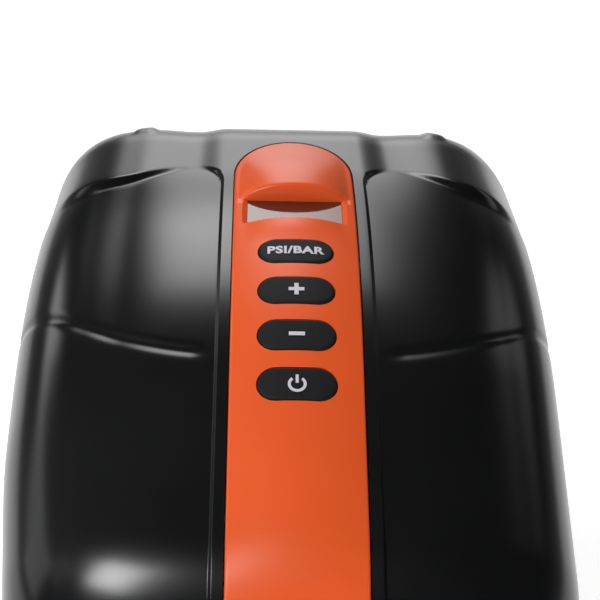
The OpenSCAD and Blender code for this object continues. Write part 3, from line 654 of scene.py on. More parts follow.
@dataclass
class Body:
    """The loaf: the roof line carried across a section that stays flat and rolls over at the shoulders."""

    line: RoofLine = field(default_factory=RoofLine)
    width: float = 160.0
    shoulder_r: float = 34.0
    shoulder_p: float = 5.7
    spine_edge: float = 22.3
    band_front: float = 31.5
    corner_r: float = 10.5
    groove_u: float = 57.5
    groove_w: float = 1.9
    groove_d: float = 0.5
    close_rows: tuple[float, float] = (10.0, 46.0)

    def drop(self, q: Array) -> Array:
        """Drop of the skin at lateral place q: radius times 1 less the root of 1 less q to the power p."""
        return self.shoulder_r * (1 - np.sqrt(np.clip(1 - np.abs(q) ** self.shoulder_p, 0, 1)))

    def _cheek(self, a: Array, y: Array, z: Array) -> Array:
        """Share of the sunk cheek: 1 well inside it, 0 on the spine and on the band, eased over its edge.

        Args:
            a: places across, from the middle.
            y: places to the rear.
            z: heights.

        Returns:
            Shares from 0 to 1. The edges are the spine's side and the band's curved front, joined by a
            rounded inner corner, and the slope is wider along the band and on the steep front.
        """
        edge_y = self.band_front + 11.0 * (1 - ramp(a, 30, 60))
        da = a - self.spine_edge
        dy = (edge_y - y) * 0.62
        corner = self.corner_r
        inside = np.where((da < corner) & (dy < corner),
                          corner - np.hypot(corner - da, corner - dy), np.minimum(da, dy))
        along = ease(np.clip(dy, 0, None) / (np.abs(da) + np.abs(dy) + 1e-6))
        width = 0.95 + (1 - along) * (1.5 + 30 * ramp(z, 130, 100)) + 3.0 * ramp(a, 56, 70)
        return ease(inside / width)

    def _band(self, a: Array, y: Array, z: Array) -> Array:
        """Height of the band behind the cheeks: a dip by the spine, a fall at the shoulder and a lug.

        Args:
            a: places across, from the middle.
            y: places to the rear.
            z: heights.

        Returns:
            Heights along the normal.
        """
        band = -1.3 * ramp(a, 22, 32) + 1.5 * ramp(a, 32, 52) - 1.6 * ramp(a, 56, 78)
        lug = 0.95 * ramp(a, 46.6, 48.4) * (1 - ramp(a, 53, 55.5))
        lug = lug * ramp(y, 72, 80) * (1 - ramp(y, 100, 110))
        return band * ramp(z, 100, 124) + lug

    def _fuller(self, x: Array, y: Array, z: Array) -> Array:
        """How much fuller the left shoulder is: faded in over the side and out to the front, rear and foot.

        Args:
            x: places across, negative to the left.
            y: places to the rear.
            z: heights.

        Returns:
            Heights along the normal.
        """
        most = 3.4 + 1.0 * ramp(y, 60, -20)
        return most * ramp(x, -50, -76) * ramp(z, 60, 115) * ramp(y, -125, -55) * ramp(y, 125, 65)

    def relief(self, x: Array, y: Array, z: Array, s: Array) -> Array:
        """Height of the moulded relief over the plain loaf.

        Args:
            x: places across on the plain loaf.
            y: places to the rear.
            z: heights.
            s: arc length of each row above the console's start.

        Returns:
            Heights along the normal. The spine is level. Outside it lie the two sunk cheeks, each
            crossed by a shallow groove that bends up to the side, and the band behind them.
        """
        a = np.abs(x)
        cheek = self._cheek(a, y, z)
        sunk = -1.25 - 1.3 * np.clip((a - self.spine_edge) / 40, 0, 1) ** 2 + 1.55 * ramp(a, 60, 80)
        bend = self.groove_u + 0.0069 * (a - 22) ** 2
        groove = -self.groove_d * np.exp(-((s - bend) / self.groove_w) ** 2)
        groove = groove * ramp(a, 24, 31) * ramp(z, 98, 112)
        height = (1 - cheek) * self._band(a, y, z) + cheek * sunk
        return height * ramp(z, 59, 83) + self._fuller(x, y, z) + groove * cheek

    def lateral(self, fine: bool) -> Array:
        """Lateral places from the middle to the side.

        Args:
            fine: whether they are close together at the spine's edge and round the shoulder.

        Returns:
            Rising numbers from 0 to 1. Round the shoulder they follow equal turns of the section.
        """
        if fine:
            flat = stations((0, 15, 5), (15, 22.2, 1.2), (22.2, 23.4, 0.12), (23.4, 34, 0.55), (34, 66, 1.25))
        else:
            flat = stations((0, 66, 8))
        q = flat / (self.width / 2)
        turn = np.linspace(math.asin(q[-1] ** (self.shoulder_p / 2)), math.pi / 2, 20 if fine else 10)[1:]
        return np.concatenate([q, np.sin(turn) ** (2 / self.shoulder_p)])

    def _rows(self, fine: bool) -> Array:
        """Arc lengths of the grid's rows.

        Args:
            fine: whether they are close together at the groove and at the band's front.

        Returns:
            Rising arc lengths over the whole roof line.
        """
        line = self.line
        if not fine:
            return stations((0, line.total, 7))
        start = line.console_start
        back = [line.length_where(0, y, 100, 330) for y in self.close_rows]
        return stations((0, start, 2.4), (start, start + 52, 2.4), (start + 52, start + 82, 0.65),
                        (start + 82, back[0], 2.2), (back[0], back[1], 0.42), (back[1], line.total, 2.3))

    def solid(self, name: str, inset: float, fine: bool) -> bpy.types.Object:
        """The closed loaf above the split line.

        Args:
            name: the object's name.
            inset: how far inside the outer skin it lies.
            fine: whether it has the moulded relief and a close grid.

        Returns:
            A closed solid: the grid over the roof goes on down both sides, and its rim is capped.
        """
        line = self.line
        rows = self._rows(fine)
        y, z, angle = line.at(rows)
        q = self.lateral(fine)
        q = np.concatenate([-q[:0:-1], q])
        half = self.width / 2 - inset
        fall = inset + self.drop(q)
        roof = np.stack(np.broadcast_arrays(
            half * q[None, :], y[:, None] - fall * np.cos(angle)[:, None],
            z[:, None] - fall * np.sin(angle)[:, None]), -1)
        low = line.split_z - (0 if fine else 1)
        roof[..., 2] = np.maximum(roof[..., 2], low)
        steps = np.linspace(0, 1, 18 if fine else 6)[1:]
        wall = line.rear_y - self.shoulder_r - inset
        foot_y = np.linspace(-wall, wall, len(rows)) * 0.5 + 0.5 * np.clip(roof[:, 0, 1], -wall, wall)
        foot_y[0], foot_y[-1] = roof[0, 0, 1], roof[-1, 0, 1]
        sides = []
        for column in (0, -1):
            top = roof[:, column, :]
            foot = np.stack([top[:, 0], foot_y, np.full(len(rows), low)], -1)
            sides.append(top[:, None, :] + (foot - top)[:, None, :] * steps[None, :, None])
        skin = np.concatenate([sides[0][:, ::-1], roof, sides[1]], 1)
        if fine:
            skin = skin + self._normals(roof, len(steps)) * self.relief(
                skin[..., 0], skin[..., 1], skin[..., 2], (rows - line.console_start)[:, None])[..., None]
            skin[..., 2] = np.where(np.abs(skin[..., 2] - low) < 1e-3, low, skin[..., 2])
        n, m = skin.shape[:2]
        return mesh_object(name, skin, grid_quads(n, m) + [border(n, m).tolist()])

    @staticmethod
    def _normals(roof: Array, steps: int) -> Array:
        """Outward unit normals: the roof's two directions crossed, and straight out on the sides.

        Args:
            roof: the roof's grid of places.
            steps: number of points down each side.

        Returns:
            A normal for each point of the whole skin.
        """
        along = np.gradient(roof, axis=0)
        across = np.gradient(roof, axis=1)
        normal = np.cross(across, along)
        normal /= np.linalg.norm(normal, axis=-1, keepdims=True) + 1e-12
        normal[:, 0], normal[:, -1] = (-1, 0, 0), (1, 0, 0)
        sides = np.zeros((roof.shape[0], steps, 3))
        left, right = sides.copy(), sides.copy()
        left[..., 0], right[..., 0] = -1, 1
        return np.concatenate([left, normal, right], 1)

    def outline(self, inset: float) -> Array:
        """Plan outline of the straight walls.

        Args:
            inset: how far inside the outer skin it lies.

        Returns:
            A closed ring of plane points: bowed front and rear as the skin drops, with straight sides.
        """
        turn = np.linspace(0, math.pi / 2, 22)
        q = np.sin(turn) ** (2 / self.shoulder_p)
        q[0] = 0.0
        q = np.concatenate([-q[:0:-1], q])
        half_w, half_d = self.width / 2 - inset, self.line.rear_y - inset
        front = np.stack([half_w * q, -half_d + self.drop(q)], -1)
        side = np.linspace(-half_d + self.shoulder_r, half_d - self.shoulder_r, 30)[1:-1]
        right = np.stack([np.full(len(side), half_w), side], -1)
        return np.concatenate([front, right, -front, -right])


# ---------------------------------------------------------------- sub-assemblies

@dataclass
class Outfit:
    """Common work of the sub-assemblies: dressing, riding, replacing and reporting."""

    def dress(self, piece: bpy.types.Object, finish: Finish, body: str, slot: str,
              replaces: tuple[str, ...] = ()) -> bpy.types.Object:
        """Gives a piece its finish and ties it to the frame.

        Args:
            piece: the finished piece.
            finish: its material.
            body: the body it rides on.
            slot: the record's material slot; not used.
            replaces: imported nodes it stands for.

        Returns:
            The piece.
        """
        piece.data.materials.clear()
        piece.data.materials.append(finish.build())
        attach(piece, body)
        if replaces:
            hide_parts(*replaces)
        LOG.info("%s: %d faces, rides on %s", piece.name, len(piece.data.polygons), body)
        return piece


@dataclass
class ConsoleStrip(Outfit):
    """The crowned strip with its key holes, its display pocket and the visor behind it."""

    body: Body
    width: float = 38.0
    crown: float = 2.4
    crown_run: float = 30.0
    thickness: float = 2.5
    visor: float = 3.3
    visor_len: float = 40.0
    visor_lead: float = 2.5
    crest_r: float = 1.9
    pocket: tuple[float, float] = (110.0, 124.5)
    pocket_w: float = 29.4
    end_back: float = 5.9
    end_len: float = 32.0
    lip: float = 1.1
    low_z: float = 88.0
    edge_r: float = 0.7
    gap: float = 0.25

    def __post_init__(self) -> None:
        """Finds where the round end is centred and where the pocket and the visor start."""
        line = self.body.line
        self.top_y = line.roof_y - self.end_back
        self.pocket_y = float(line.at(line.console_start + self.pocket[0])[0][0])
        self.visor_y = float(line.at(line.console_start + self.pocket[1])[0][0])

    def height(self, x: Array, y: Array, z: Array) -> Array:
        """Height over the roof line: a crown less the square of the place across, and a round edge.

        Args:
            x: places across on the roof line.
            y: places to the rear.
            z: heights.

        Returns:
            Heights. In front of the visor a low lip rises beside the pocket, and behind the pocket the
            visor adds a hump that fades along the strip.
        """
        half = self.width / 2
        reach = np.hypot(x, np.maximum(0, y - self.top_y) * half / self.end_len)
        reach = np.maximum(reach, np.hypot(x, np.maximum(0, self.low_z - z)))
        dome = 1 - np.clip(reach / half, 0, 1) ** 2
        height = self.crown * ease((y - self.body.line.front_y) / self.crown_run) * dome
        t = np.abs(2 * x / self.pocket_w)
        lip = self.lip * ramp(y, self.pocket_y - 11, self.pocket_y - 2) * np.clip(1 - t * t, 0, 1)
        hump = np.clip(1 - 0.25 * t ** 2 - 0.35 * t ** 4, 0, 1) * (1 - ramp(np.abs(x), 14.2, 18.5))
        past = y > self.visor_y - self.visor_lead
        rise = np.where(past, 1 - ease((y - self.visor_y) / self.visor_len), 0.0)
        crest = round_over(y - self.visor_y - 0.7, self.crest_r) * past * np.sqrt(hump)
        height = height + lip * (y < self.visor_y) + self.visor * rise * hump - crest
        return height - round_over(half - reach, self.edge_r)

    def _rows(self) -> Array:
        """Arc lengths of the strip's rows, close together at the visor and towards both round ends.

        Returns:
            Rising arc lengths from the front wall's lower edge.
        """
        line = self.body.line
        half = self.width / 2
        start = line.console_start
        low = line.length_where(1, self.low_z, 0, start)
        high = line.length_where(0, self.top_y, 200, 330)
        turn = np.linspace(0, math.pi / 2, 26)
        low_z = self.low_z - half * np.sin(turn[::-1])
        high_y = self.top_y + self.end_len * np.sin(turn)
        low_rows = np.array([line.length_where(1, z, 0, start) for z in low_z])
        high_rows = np.array([line.length_where(0, y, 200, 340) for y in high_y])
        wall = start + self.pocket[1]
        middle = stations((low, wall - 4, 1.6), (wall - 4, wall + 4, 0.16), (wall + 4, high, 1.6))
        return np.concatenate([low_rows[:-1], middle, high_rows[1:]])

    def build(self) -> bpy.types.Object:
        """Lofts the strip, cuts its holes and dresses it.

        Returns:
            The strip.
        """
        half = self.width / 2
        y, z, angle = self.body.line.at(self._rows())
        reach = np.where(y > self.top_y, (y - self.top_y) * half / self.end_len,
                         np.where(z < self.low_z, self.low_z - z, 0.0))
        wide = np.sqrt(np.clip(half ** 2 - reach ** 2, 0, None))
        wide[0] = wide[-1] = 0.0
        t = np.concatenate([np.linspace(0, 0.9, 25), [0.925, 0.945, 0.96, 0.972, 0.982, 0.99, 0.996, 1.0]])
        t = np.concatenate([-t[:0:-1], t])
        x = wide[:, None] * t[None, :]
        yy, zz, aa = (np.repeat(v[:, None], len(t), 1) for v in (y, z, angle))
        tops, unders = (np.stack([x, yy + h * np.cos(aa), zz + h * np.sin(aa)], -1)
                        for h in (self.height(x, yy, zz), -self.thickness))
        strip = slab("console_strip", tops, unders)
        carve(strip, [self._key_cutter(u) for u in Keypad.places()] + [self._pocket_cutter()])
        return self.dress(strip, CONSOLE_ORANGE, "housing", "console_orange", ("console_panel",))

    def _key_cutter(self, u: float) -> bpy.types.Object:
        """An obround prism through the strip, a little larger than a key.

        Args:
            u: arc length of the key above the console's start.

        Returns:
            The cutter.
        """
        ring = obround(Keypad.key_w + 2 * self.gap, Keypad.key_h + 2 * self.gap)
        rings = np.array([at_height(ring, h) for h in (-6.0, 9.0)])
        return place(loft("cutter", rings), self.body.line.frame(u))

    def _pocket_cutter(self) -> bpy.types.Object:
        """A prism that opens upwards: steep at the visor, sloping at the sides.

        Returns:
            The cutter.
        """
        mid = sum(self.pocket) / 2
        half_l, half_w = (self.pocket[1] - self.pocket[0]) / 2, self.pocket_w / 2
        rings = []
        # height, and how far the sides, the rear and the front have opened there
        for h, side, rear, front in ((-1.35, 0.0, 0.0, 0.0), (-0.1, 0.0, 0.1, 0.0),
                                     (1.1, 2.6, 0.45, 0.15), (9.0, 17.0, 2.7, 1.2)):
            rings.append([(-half_w - side, -half_l - front, h), (half_w + side, -half_l - front, h),
                          (half_w + side, half_l + rear, h), (-half_w - side, half_l + rear, h)])
        return place(loft("cutter", np.array(rings)), self.body.line.frame(mid))

    def slot_cutters(self) -> list[bpy.types.Object]:
        """Prisms that cut the strip's slot through the housing.

        Returns:
            One prism from above, and one from the front for the part below the nose.
        """
        half = self.width / 2 + self.gap
        arc = np.linspace(0, np.pi, 49)
        ahead = self.body.line.front_y - 20
        above = np.concatenate([
            np.stack([half * np.cos(arc), self.top_y + (self.end_len + self.gap) * np.sin(arc)], -1),
            [(-half, ahead), (half, ahead)]])
        top = loft("cutter", np.array([at_height(above, z) for z in (100.0, 200.0)]))
        below = np.concatenate([np.stack([-half * np.cos(arc), self.low_z - half * np.sin(arc)], -1),
                                [(half, 101.0), (-half, 101.0)]])
        front = loft("cutter", np.array([
            np.stack([below[:, 0], np.full(len(below), y), below[:, 1]], -1) for y in (-150.0, -95.0)]))
        return [top, front]


class Mark(Enum):
    """Signs printed on the keys."""

    POWER = "power"
    MINUS = "minus"
    PLUS = "plus"
    UNITS = "PSI/BAR"


@dataclass
class Keypad(Outfit):
    """Four rubber keys along the strip, each with its sign."""

    strip: ConsoleStrip
    key_w: float = 22.3
    key_h: float = 10.6
    first: float = 44.7
    pitch: float = 16.6
    proud: float = 0.5
    edge_r: float = 0.75
    ink_over: float = 0.045
    ink_under: float = 0.1
    stroke: float = 1.25
    words_size: tuple[float, float] = (16.9, 3.4)

    @classmethod
    def places(cls) -> list[float]:
        """Arc lengths of the four keys above the console's start."""
        return [cls.first + i * cls.pitch for i in range(4)]

    def top(self, x: Array, v: Array) -> Array:
        """Height of a key's top: the strip's crown, less the roof's own bend, plus the key's stand.

        Args:
            x: places across the key.
            v: places up the key.

        Returns:
            Heights over the roof line's tangent at the key's middle.
        """
        half = self.strip.width / 2
        bend = v * v / (2 * self.strip.body.line.roof_r)
        return self.strip.crown * (1 - (x / half) ** 2) - bend + self.proud

    def build(self) -> list[bpy.types.Object]:
        """Makes the keys and their signs.

        Returns:
            A key and a sign for each place.
        """
        made = []
        rows = zip(self.places(), Mark, ("power", "minus", "plus", "psi_bar"))
        for u, mark, name in rows:
            frame = self.strip.body.line.frame(u)
            key = place(self._key(f"{name}_key_cap"), frame)
            made.append(self.dress(key, KEY_RUBBER, f"{name}_key", "key_rubber", (f"{name}_button",)))
            sign = place(self._sign(mark, f"{name}_sign"), frame)
            made.append(self.dress(sign, MARK_INK, f"{name}_key", "white_nylon"))
        return made

    def _key(self, name: str) -> bpy.types.Object:
        """One key: rings of the outline, out from the crown over the round edge and down to the flange.

        Args:
            name: the key's name.

        Returns:
            The key.
        """
        ring = obround(self.key_w, self.key_h, 28)
        run, half = (self.key_w - self.key_h) / 2, self.key_h / 2
        spine = np.stack([np.clip(ring[:, 0], -run, run), np.zeros(len(ring))], -1)
        edge = 1 - (self.edge_r / half) * (1 - np.sin(np.linspace(0, np.pi / 2, 8)))
        rings = []
        for part in np.unique(np.clip(np.concatenate([np.linspace(0.02, 0.8, 12), edge]), 0, 1)):
            flat = spine + (ring - spine) * part
            inset = (1 - part) * half
            h = self.top(flat[:, 0], flat[:, 1]) - round_over(np.full(len(ring), inset), self.edge_r)
            rings.append(np.column_stack([flat, h]))
        # how far out of the outline and how high each ring of the skirt and the flange lies
        for grow, h in ((0.0, -2.85), (1.35, -2.9), (1.5, -3.05), (1.5, -4.0), (1.3, -4.1), (-2.5, -4.1)):
            rings.append(at_height(ring + (ring - spine) / half * grow, h))
        return loft(name, np.array(rings))

    def _sign(self, mark: Mark, name: str) -> bpy.types.Object:
        """A thin printed sign that follows the key's crown.

        Args:
            mark: which sign.
            name: its name.

        Returns:
            The sign.
        """
        if mark is Mark.UNITS:
            return self._lettering(name, mark.value)
        parts = []
        if mark in (Mark.MINUS, Mark.PLUS):
            parts.append(self._bar(4.6, self.stroke))
        if mark is Mark.PLUS:
            parts.append(self._bar(self.stroke, 4.5))
        if mark is Mark.POWER:
            parts.append(self._ring_arc(2.2, 0.42, 38.0))
            parts.append(self._bar(0.85, 2.7, 1.35))
        return self._plates(name, parts)

    @staticmethod
    def _bar(width: float, height: float, up: float = 0.0) -> Array:
        """A bar as a grid of plane points.

        Args:
            width: its size across.
            height: its size up the key.
            up: how far its middle lies above the key's.

        Returns:
            Nine by nine plane points.
        """
        across, along = np.linspace(-width / 2, width / 2, 9), np.linspace(-height / 2, height / 2, 9)
        x, v = np.meshgrid(across, along + up)
        return np.stack([x, v], -1)

    @staticmethod
    def _ring_arc(radius: float, half_w: float, opening: float, down: float = 0.35) -> Array:
        """A ring left open at the top.

        Args:
            radius: its middle radius.
            half_w: half its breadth.
            opening: degrees left open to each side of the top.
            down: how far its middle lies below the key's.

        Returns:
            A grid of plane points, round by across.
        """
        turn = np.radians(np.linspace(90 + opening, 450 - opening, 49))
        r, t = np.meshgrid(np.array([radius - half_w, radius, radius + half_w]), turn)
        return np.stack([r * np.cos(t), r * np.sin(t) - down], -1)

    def _plates(self, name: str, parts: list[Array]) -> bpy.types.Object:
        """Thin plates between grids laid just over and just under the key's top.

        Args:
            name: the sign's name.
            parts: a grid of plane points for each plate.

        Returns:
            The plates as one object.
        """
        made = []
        for part in parts:
            x, v = part[..., 0], part[..., 1]
            h = self.top(x, v)
            made.append(slab("plate", np.stack([x, v, h + self.ink_over], -1),
                             np.stack([x, v, h - self.ink_under], -1)))
        return join(name, made)

    def _lettering(self, name: str, words: str) -> bpy.types.Object:
        """Plain capitals, made a mesh, fitted to their size and laid on the key's top.

        Args:
            name: the sign's name.
            words: what it says.

        Returns:
            The sign.
        """
        curve = bpy.data.curves.new("words", "FONT")
        curve.body = words
        curve.size = 1.0
        curve.offset = 0.034
        curve.resolution_u = 6
        curve.extrude = 0.02
        curve.space_character = 1.06
        text = linked("words", curve)
        mesh = evaluated_mesh(text)
        bpy.data.objects.remove(text)
        bpy.data.curves.remove(curve)
        co = np.empty(len(mesh.vertices) * 3, np.float32)
        mesh.vertices.foreach_get("co", co)
        co = co.reshape(-1, 3).astype(float)
        low, high = co.min(0), co.max(0)
        x, v = (((co[:, k] - low[k]) / (high[k] - low[k]) - 0.5) * self.words_size[k] for k in (0, 1))
        h = self.top(x, v) + np.where(co[:, 2] > 0, self.ink_over, -self.ink_under)
        mesh.vertices.foreach_set("co", (np.column_stack([x, v, h]) * MM).astype(np.float32).ravel())
        mesh.name = name
        tidy_mesh(mesh)
        shade(mesh)
        return linked(name, mesh)


@dataclass
class Housing(Outfit):
    """The upper and the lower shell."""

    body: Body
    strip: ConsoleStrip
    inner: float = 4.2
    vent: tuple[float, float, float] = (54.0, 50.0, 86.0)
    sockets: tuple[tuple[int, float, float], ...] = ((1, 66.0, 76.0), (-1, 30.0, 104.0))
    socket_r: float = 16.9
    foot_h: float = 6.0
    foot_well: tuple[float, float] = (9.3, 2.0)
    screw_well: tuple[float, float] = (4.6, 8.5)
    plinth_in: float = 2.5
    plinth_top: float = 12.0
    slots: int = 7
    slot_size: tuple[float, float] = (24.0, 3.0)
    slot_first: float = -50.5
    slot_pitch: float = 7.0
    slot_z: float = 34.0
    inlet_flange: float = 2.6
    inlet_gap: float = 0.3

    def build(self) -> None:
        """Makes both shells."""
        self.dress(self._upper(), SATIN_BLACK, "housing", "housing_plastic", ("upper_housing",))
        self.dress(self._lower(), SATIN_BLACK, "housing", "housing_plastic", ("lower_housing",))

    def _upper(self) -> bpy.types.Object:
        """The upper shell: the loaf less its inside, the strip's slot, the vent and the sockets' holes.

        Returns:
            The shell.
        """
        rear = self.body.line.rear_y
        wide, tall, mid = self.vent
        shell = self.body.solid("upper_shell", 0.0, True)
        cutters = [self.body.solid("cutter", self.inner, False), *self.strip.slot_cutters(),
                   block((-wide / 2, rear - 9, mid - tall / 2), (wide / 2, rear + 9, mid + tall / 2))]
        for side, y, z in self.sockets:
            outwards = Matrix.Translation((side * 60, y, z)) @ Matrix.Rotation(side * math.pi / 2, 4, "Y")
            cutters.append(place(turned("cutter", [(self.socket_r, 0), (self.socket_r, 30)]), outwards))
        return carve(shell, cutters)

    def _lower(self) -> bpy.types.Object:
        """The lower shell: the plan outline carried up rounded steps, in over the rim and down inside.

        Returns:
            The shell, with its slots, wells and the inlet's hole cut.
        """
        top, foot, inset, plinth = self.body.line.split_z - 0.4, self.foot_h, self.plinth_in, self.plinth_top
        # how far inside the plan outline and how high
        profile = [(12.0, foot), (inset + 1.2, foot), (inset + 0.4, foot + 0.3), (inset, foot + 1.0),
                   (inset, plinth - 0.6), (inset - 0.5, plinth - 0.1), (0.8, plinth), (0.25, plinth + 0.3),
                   (0.0, plinth + 1.0), (0.0, 24.0), (0.0, 40.0), (0.0, top - 0.6), (0.2, top - 0.15),
                   (0.6, top), (3.3, top), (3.3, top + 4.0), (4.4, top + 4.3), (4.6, top + 4.0),
                   (4.6, top - 6.0), (3.0, top - 8.0), (3.0, 15.0), (5.5, 9.0), (14.0, 9.0)]
        shell = loft("lower_shell", np.array([at_height(self.body.outline(i), z) for i, z in profile]))
        cutters = []
        for side in (-1, 1):
            cutters += self._slot_cutters(side)
            for (x, y), (radius, depth), z, sides in ((SCREW_AT, self.screw_well, 4, 40),
                                                      (FOOT_AT, self.foot_well, 5, 48)):
                cutters += [place(turned("cutter", [(radius, 0), (radius, depth)], sides),
                                  Matrix.Translation((side * x, end * y, z))) for end in (-1, 1)]
        rear = self.body.line.rear_y
        low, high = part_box("power_inlet")
        lip, gap = self.inlet_flange, self.inlet_gap
        cutters.append(block((low.x / MM + lip - gap, rear - 12, low.z / MM + lip - gap),
                             (high.x / MM - lip + gap, rear + 5, high.z / MM - lip + gap)))
        return carve(shell, cutters)

    def _slot_cutters(self, side: int) -> list[bpy.types.Object]:
        """Upright obround prisms through one side wall.

        Args:
            side: -1 for the left wall and 1 for the right.

        Returns:
            A cutter for each cooling slot.
        """
        ring = obround(*self.slot_size, 12)
        wall = side * self.body.width / 2
        made = []
        for i in range(self.slots):
            y, z = ring[:, 1] + self.slot_first + i * self.slot_pitch, ring[:, 0] + self.slot_z
            made.append(loft("cutter", np.array([np.column_stack([np.full(len(ring), x), y, z])
                                                 for x in (wall - 6, wall + 6)])))
        return made


@dataclass
class Sockets(Outfit):
    """The two hose sockets: turned cups with a rounded lip and two bayonet notches."""

    bore: float = 13.5
    wall: float = 3.0
    depth: float = 14.0
    reach: float = 17.0
    flange: float = 20.5
    face_x: float = 79.8
    notch: tuple[float, float, float] = (1.5, 2.2, 9.0)
    sides: int = 96

    def build(self, places: tuple[tuple[int, float, float], ...]) -> None:
        """Makes the two sockets.

        Args:
            places: (side, y, z) of each.
        """
        for (side, y, z), node in zip(places, ("inflate_port", "deflate_port")):
            cup = self._cup(f"{node}_cup")
            turn = Matrix.Rotation(-side * math.pi / 2, 4, "Y")
            place(cup, Matrix.Translation((side * self.face_x, y, z)) @ turn)
            self.dress(cup, GREY_NYLON, "housing", "grey_plastic", (node,))

    def _cup(self, name: str) -> bpy.types.Object:
        """The cup, turned about its axis: down the bore, out over the lip, back round the flange and inside.

        Args:
            name: the cup's name.

        Returns:
            A closed ring of a profile, with two notches cut in its mouth.
        """
        bore, flange, outer = self.bore, self.flange, self.bore + self.wall
        inner = bore - 2.5
        # radius and depth behind the mouth
        profile = [(inner, self.reach), (inner, self.depth), (bore - 0.3, self.depth),
                   (bore, self.depth - 0.3), (bore, 1.2), (bore + 0.2, 0.5), (bore + 0.7, 0.08),
                   (bore + 1.3, 0.0), (outer - 0.9, 0.0), (outer - 0.3, 0.15), (outer, 0.8), (outer, 3.6),
                   (flange - 0.3, 3.6), (flange, 3.9), (flange, 5.3), (outer, 5.6), (outer, self.reach)]
        count, last = self.sides, (len(profile) - 1) * self.sides
        faces = grid_quads(len(profile), count, wrap=True)
        faces += [[last + j, j, (j + 1) % count, last + (j + 1) % count] for j in range(count)]
        cup = mesh_object(name, spun(profile, count), faces)
        out, half, deep = self.notch
        notches = [place(block((bore - 0.5, -half, -1), (bore + out, half, deep)), Matrix.Rotation(a, 4, "Z"))
                   for a in (0.0, math.pi)]
        return carve(cup, notches)


@dataclass
class Feet(Outfit):
    """Four rubber feet with a rounded tread and one ring groove."""

    def build(self) -> None:
        """Makes the feet as one piece."""
        profile = [(0.3, 0.4), (5.2, 0.4), (5.5, 0.0), (7.4, 0.0), (8.1, 0.3), (8.4, 1.0), (8.9, 2.6),
                   (9.0, 3.2), (9.0, 6.7), (8.7, 7.0), (0.3, 7.0)]
        x, y = FOOT_AT
        made = [place(turned("foot", profile, 56), Matrix.Translation((side * x, end * y, 0)))
                for side in (-1, 1) for end in (-1, 1)]
        self.dress(join("feet", made), FOOT_RUBBER, "housing", "foot_rubber", ("rubber_feet",))


@dataclass
class Works(Outfit):
    """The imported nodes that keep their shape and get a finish."""

    finishes: dict[Finish, tuple[str, ...]] = field(default_factory=lambda: {
        SATIN_BLACK: ("vent_grille",),
        DISPLAY_GLASS_PAINTED_REFLECTION: ("display_window",),
        LCD_FACE: ("display_module",),
        BOARD_GREEN: ("display_board", "console_board", "main_board"),
        STEEL: ("key_switches", "console_screws", "housing_screws", "blower_motor", "compressor_motor",
                "crank_pin", "wrist_pin", "head_screws", "valve_plate"),
        ALLOY: ("blower_shaft", "gear_bracket", "cylinder", "cylinder_head", "connecting_rod", "piston",
                "heat_sink"),
        BRASS: ("inlet_pins", "crank_bush", "motor_pinion"),
        WHITE_NYLON: ("blower_impeller", "crank_gear"),
        GREY_NYLON: ("fan_frame", "power_inlet", "scroll_body", "scroll_cover", "intake_duct",
                     "blower_cradle"),
        DARK_PLASTIC: ("fan_rotor", "check_valve", "pressure_sensor", "relay", "fuse"),
        FOOT_RUBBER: ("port_seals", "piston_seal"),
        SILICONE: ("pressure_tube",),
        WIRE_SLEEVE: ("wiring",),
        CAN_BLUE: ("board_capacitors",),
    })

    def build(self, nodes: dict[str, bpy.types.Object]) -> None:
        """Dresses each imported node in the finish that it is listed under.

        Args:
            nodes: the frame's objects by name.
        """
        for finish, names in self.finishes.items():
            for name in names:
                nodes[name].data.materials.clear()
                nodes[name].data.materials.append(finish.build())
                LOG.info("%s: packed node in %s", name, finish.name)


# ---------------------------------------------------------------- studio

Fade = tuple[str, float, float, float, float]


@dataclass
class Sky:
    """The room's brightness as nodes that work on the direction's X, Y and Z."""

    tree: bpy.types.NodeTree
    parts: bpy.types.Node

    def step(self, axis: str, start: float, stop: float, low: float, high: float) -> bpy.types.NodeSocket:
        """A smooth step along one axis.

        Args:
            axis: X, Y or Z.
            start: where the step starts.
            stop: where it ends.
            low: the result before it.
            high: the result past it.

        Returns:
            The result's socket.
        """
        node = self.tree.nodes.new("ShaderNodeMapRange")
        node.interpolation_type = "SMOOTHSTEP"
        for name, value in (("From Min", start), ("From Max", stop), ("To Min", low), ("To Max", high)):
            node.inputs[name].default_value = value
        self.tree.links.new(self.parts.outputs[axis], node.inputs["Value"])
        return node.outputs["Result"]

    def merge(self, kind: str, first: bpy.types.NodeSocket,
              second: bpy.types.NodeSocket | float) -> bpy.types.NodeSocket:
        """Arithmetic on two results.

        Args:
            kind: ADD or MULTIPLY.
            first: the first result.
            second: the second, or a number.

        Returns:
            The result's socket.
        """
        node = self.tree.nodes.new("ShaderNodeMath")
        node.operation = kind
        self.tree.links.new(first, node.inputs[0])
        if isinstance(second, float):
            node.inputs[1].default_value = second
        else:
            self.tree.links.new(second, node.inputs[1])
        return node.outputs["Value"]

    def patch(self, fades: tuple[Fade, ...]) -> bpy.types.NodeSocket:
        """A soft-edged patch: the product of its steps.

        Args:
            fades: the steps, each as step() takes them.

        Returns:
            The result's socket.
        """
        socket = self.step(*fades[0])
        for fade in fades[1:]:
            socket = self.merge("MULTIPLY", socket, self.step(*fade))
        return socket


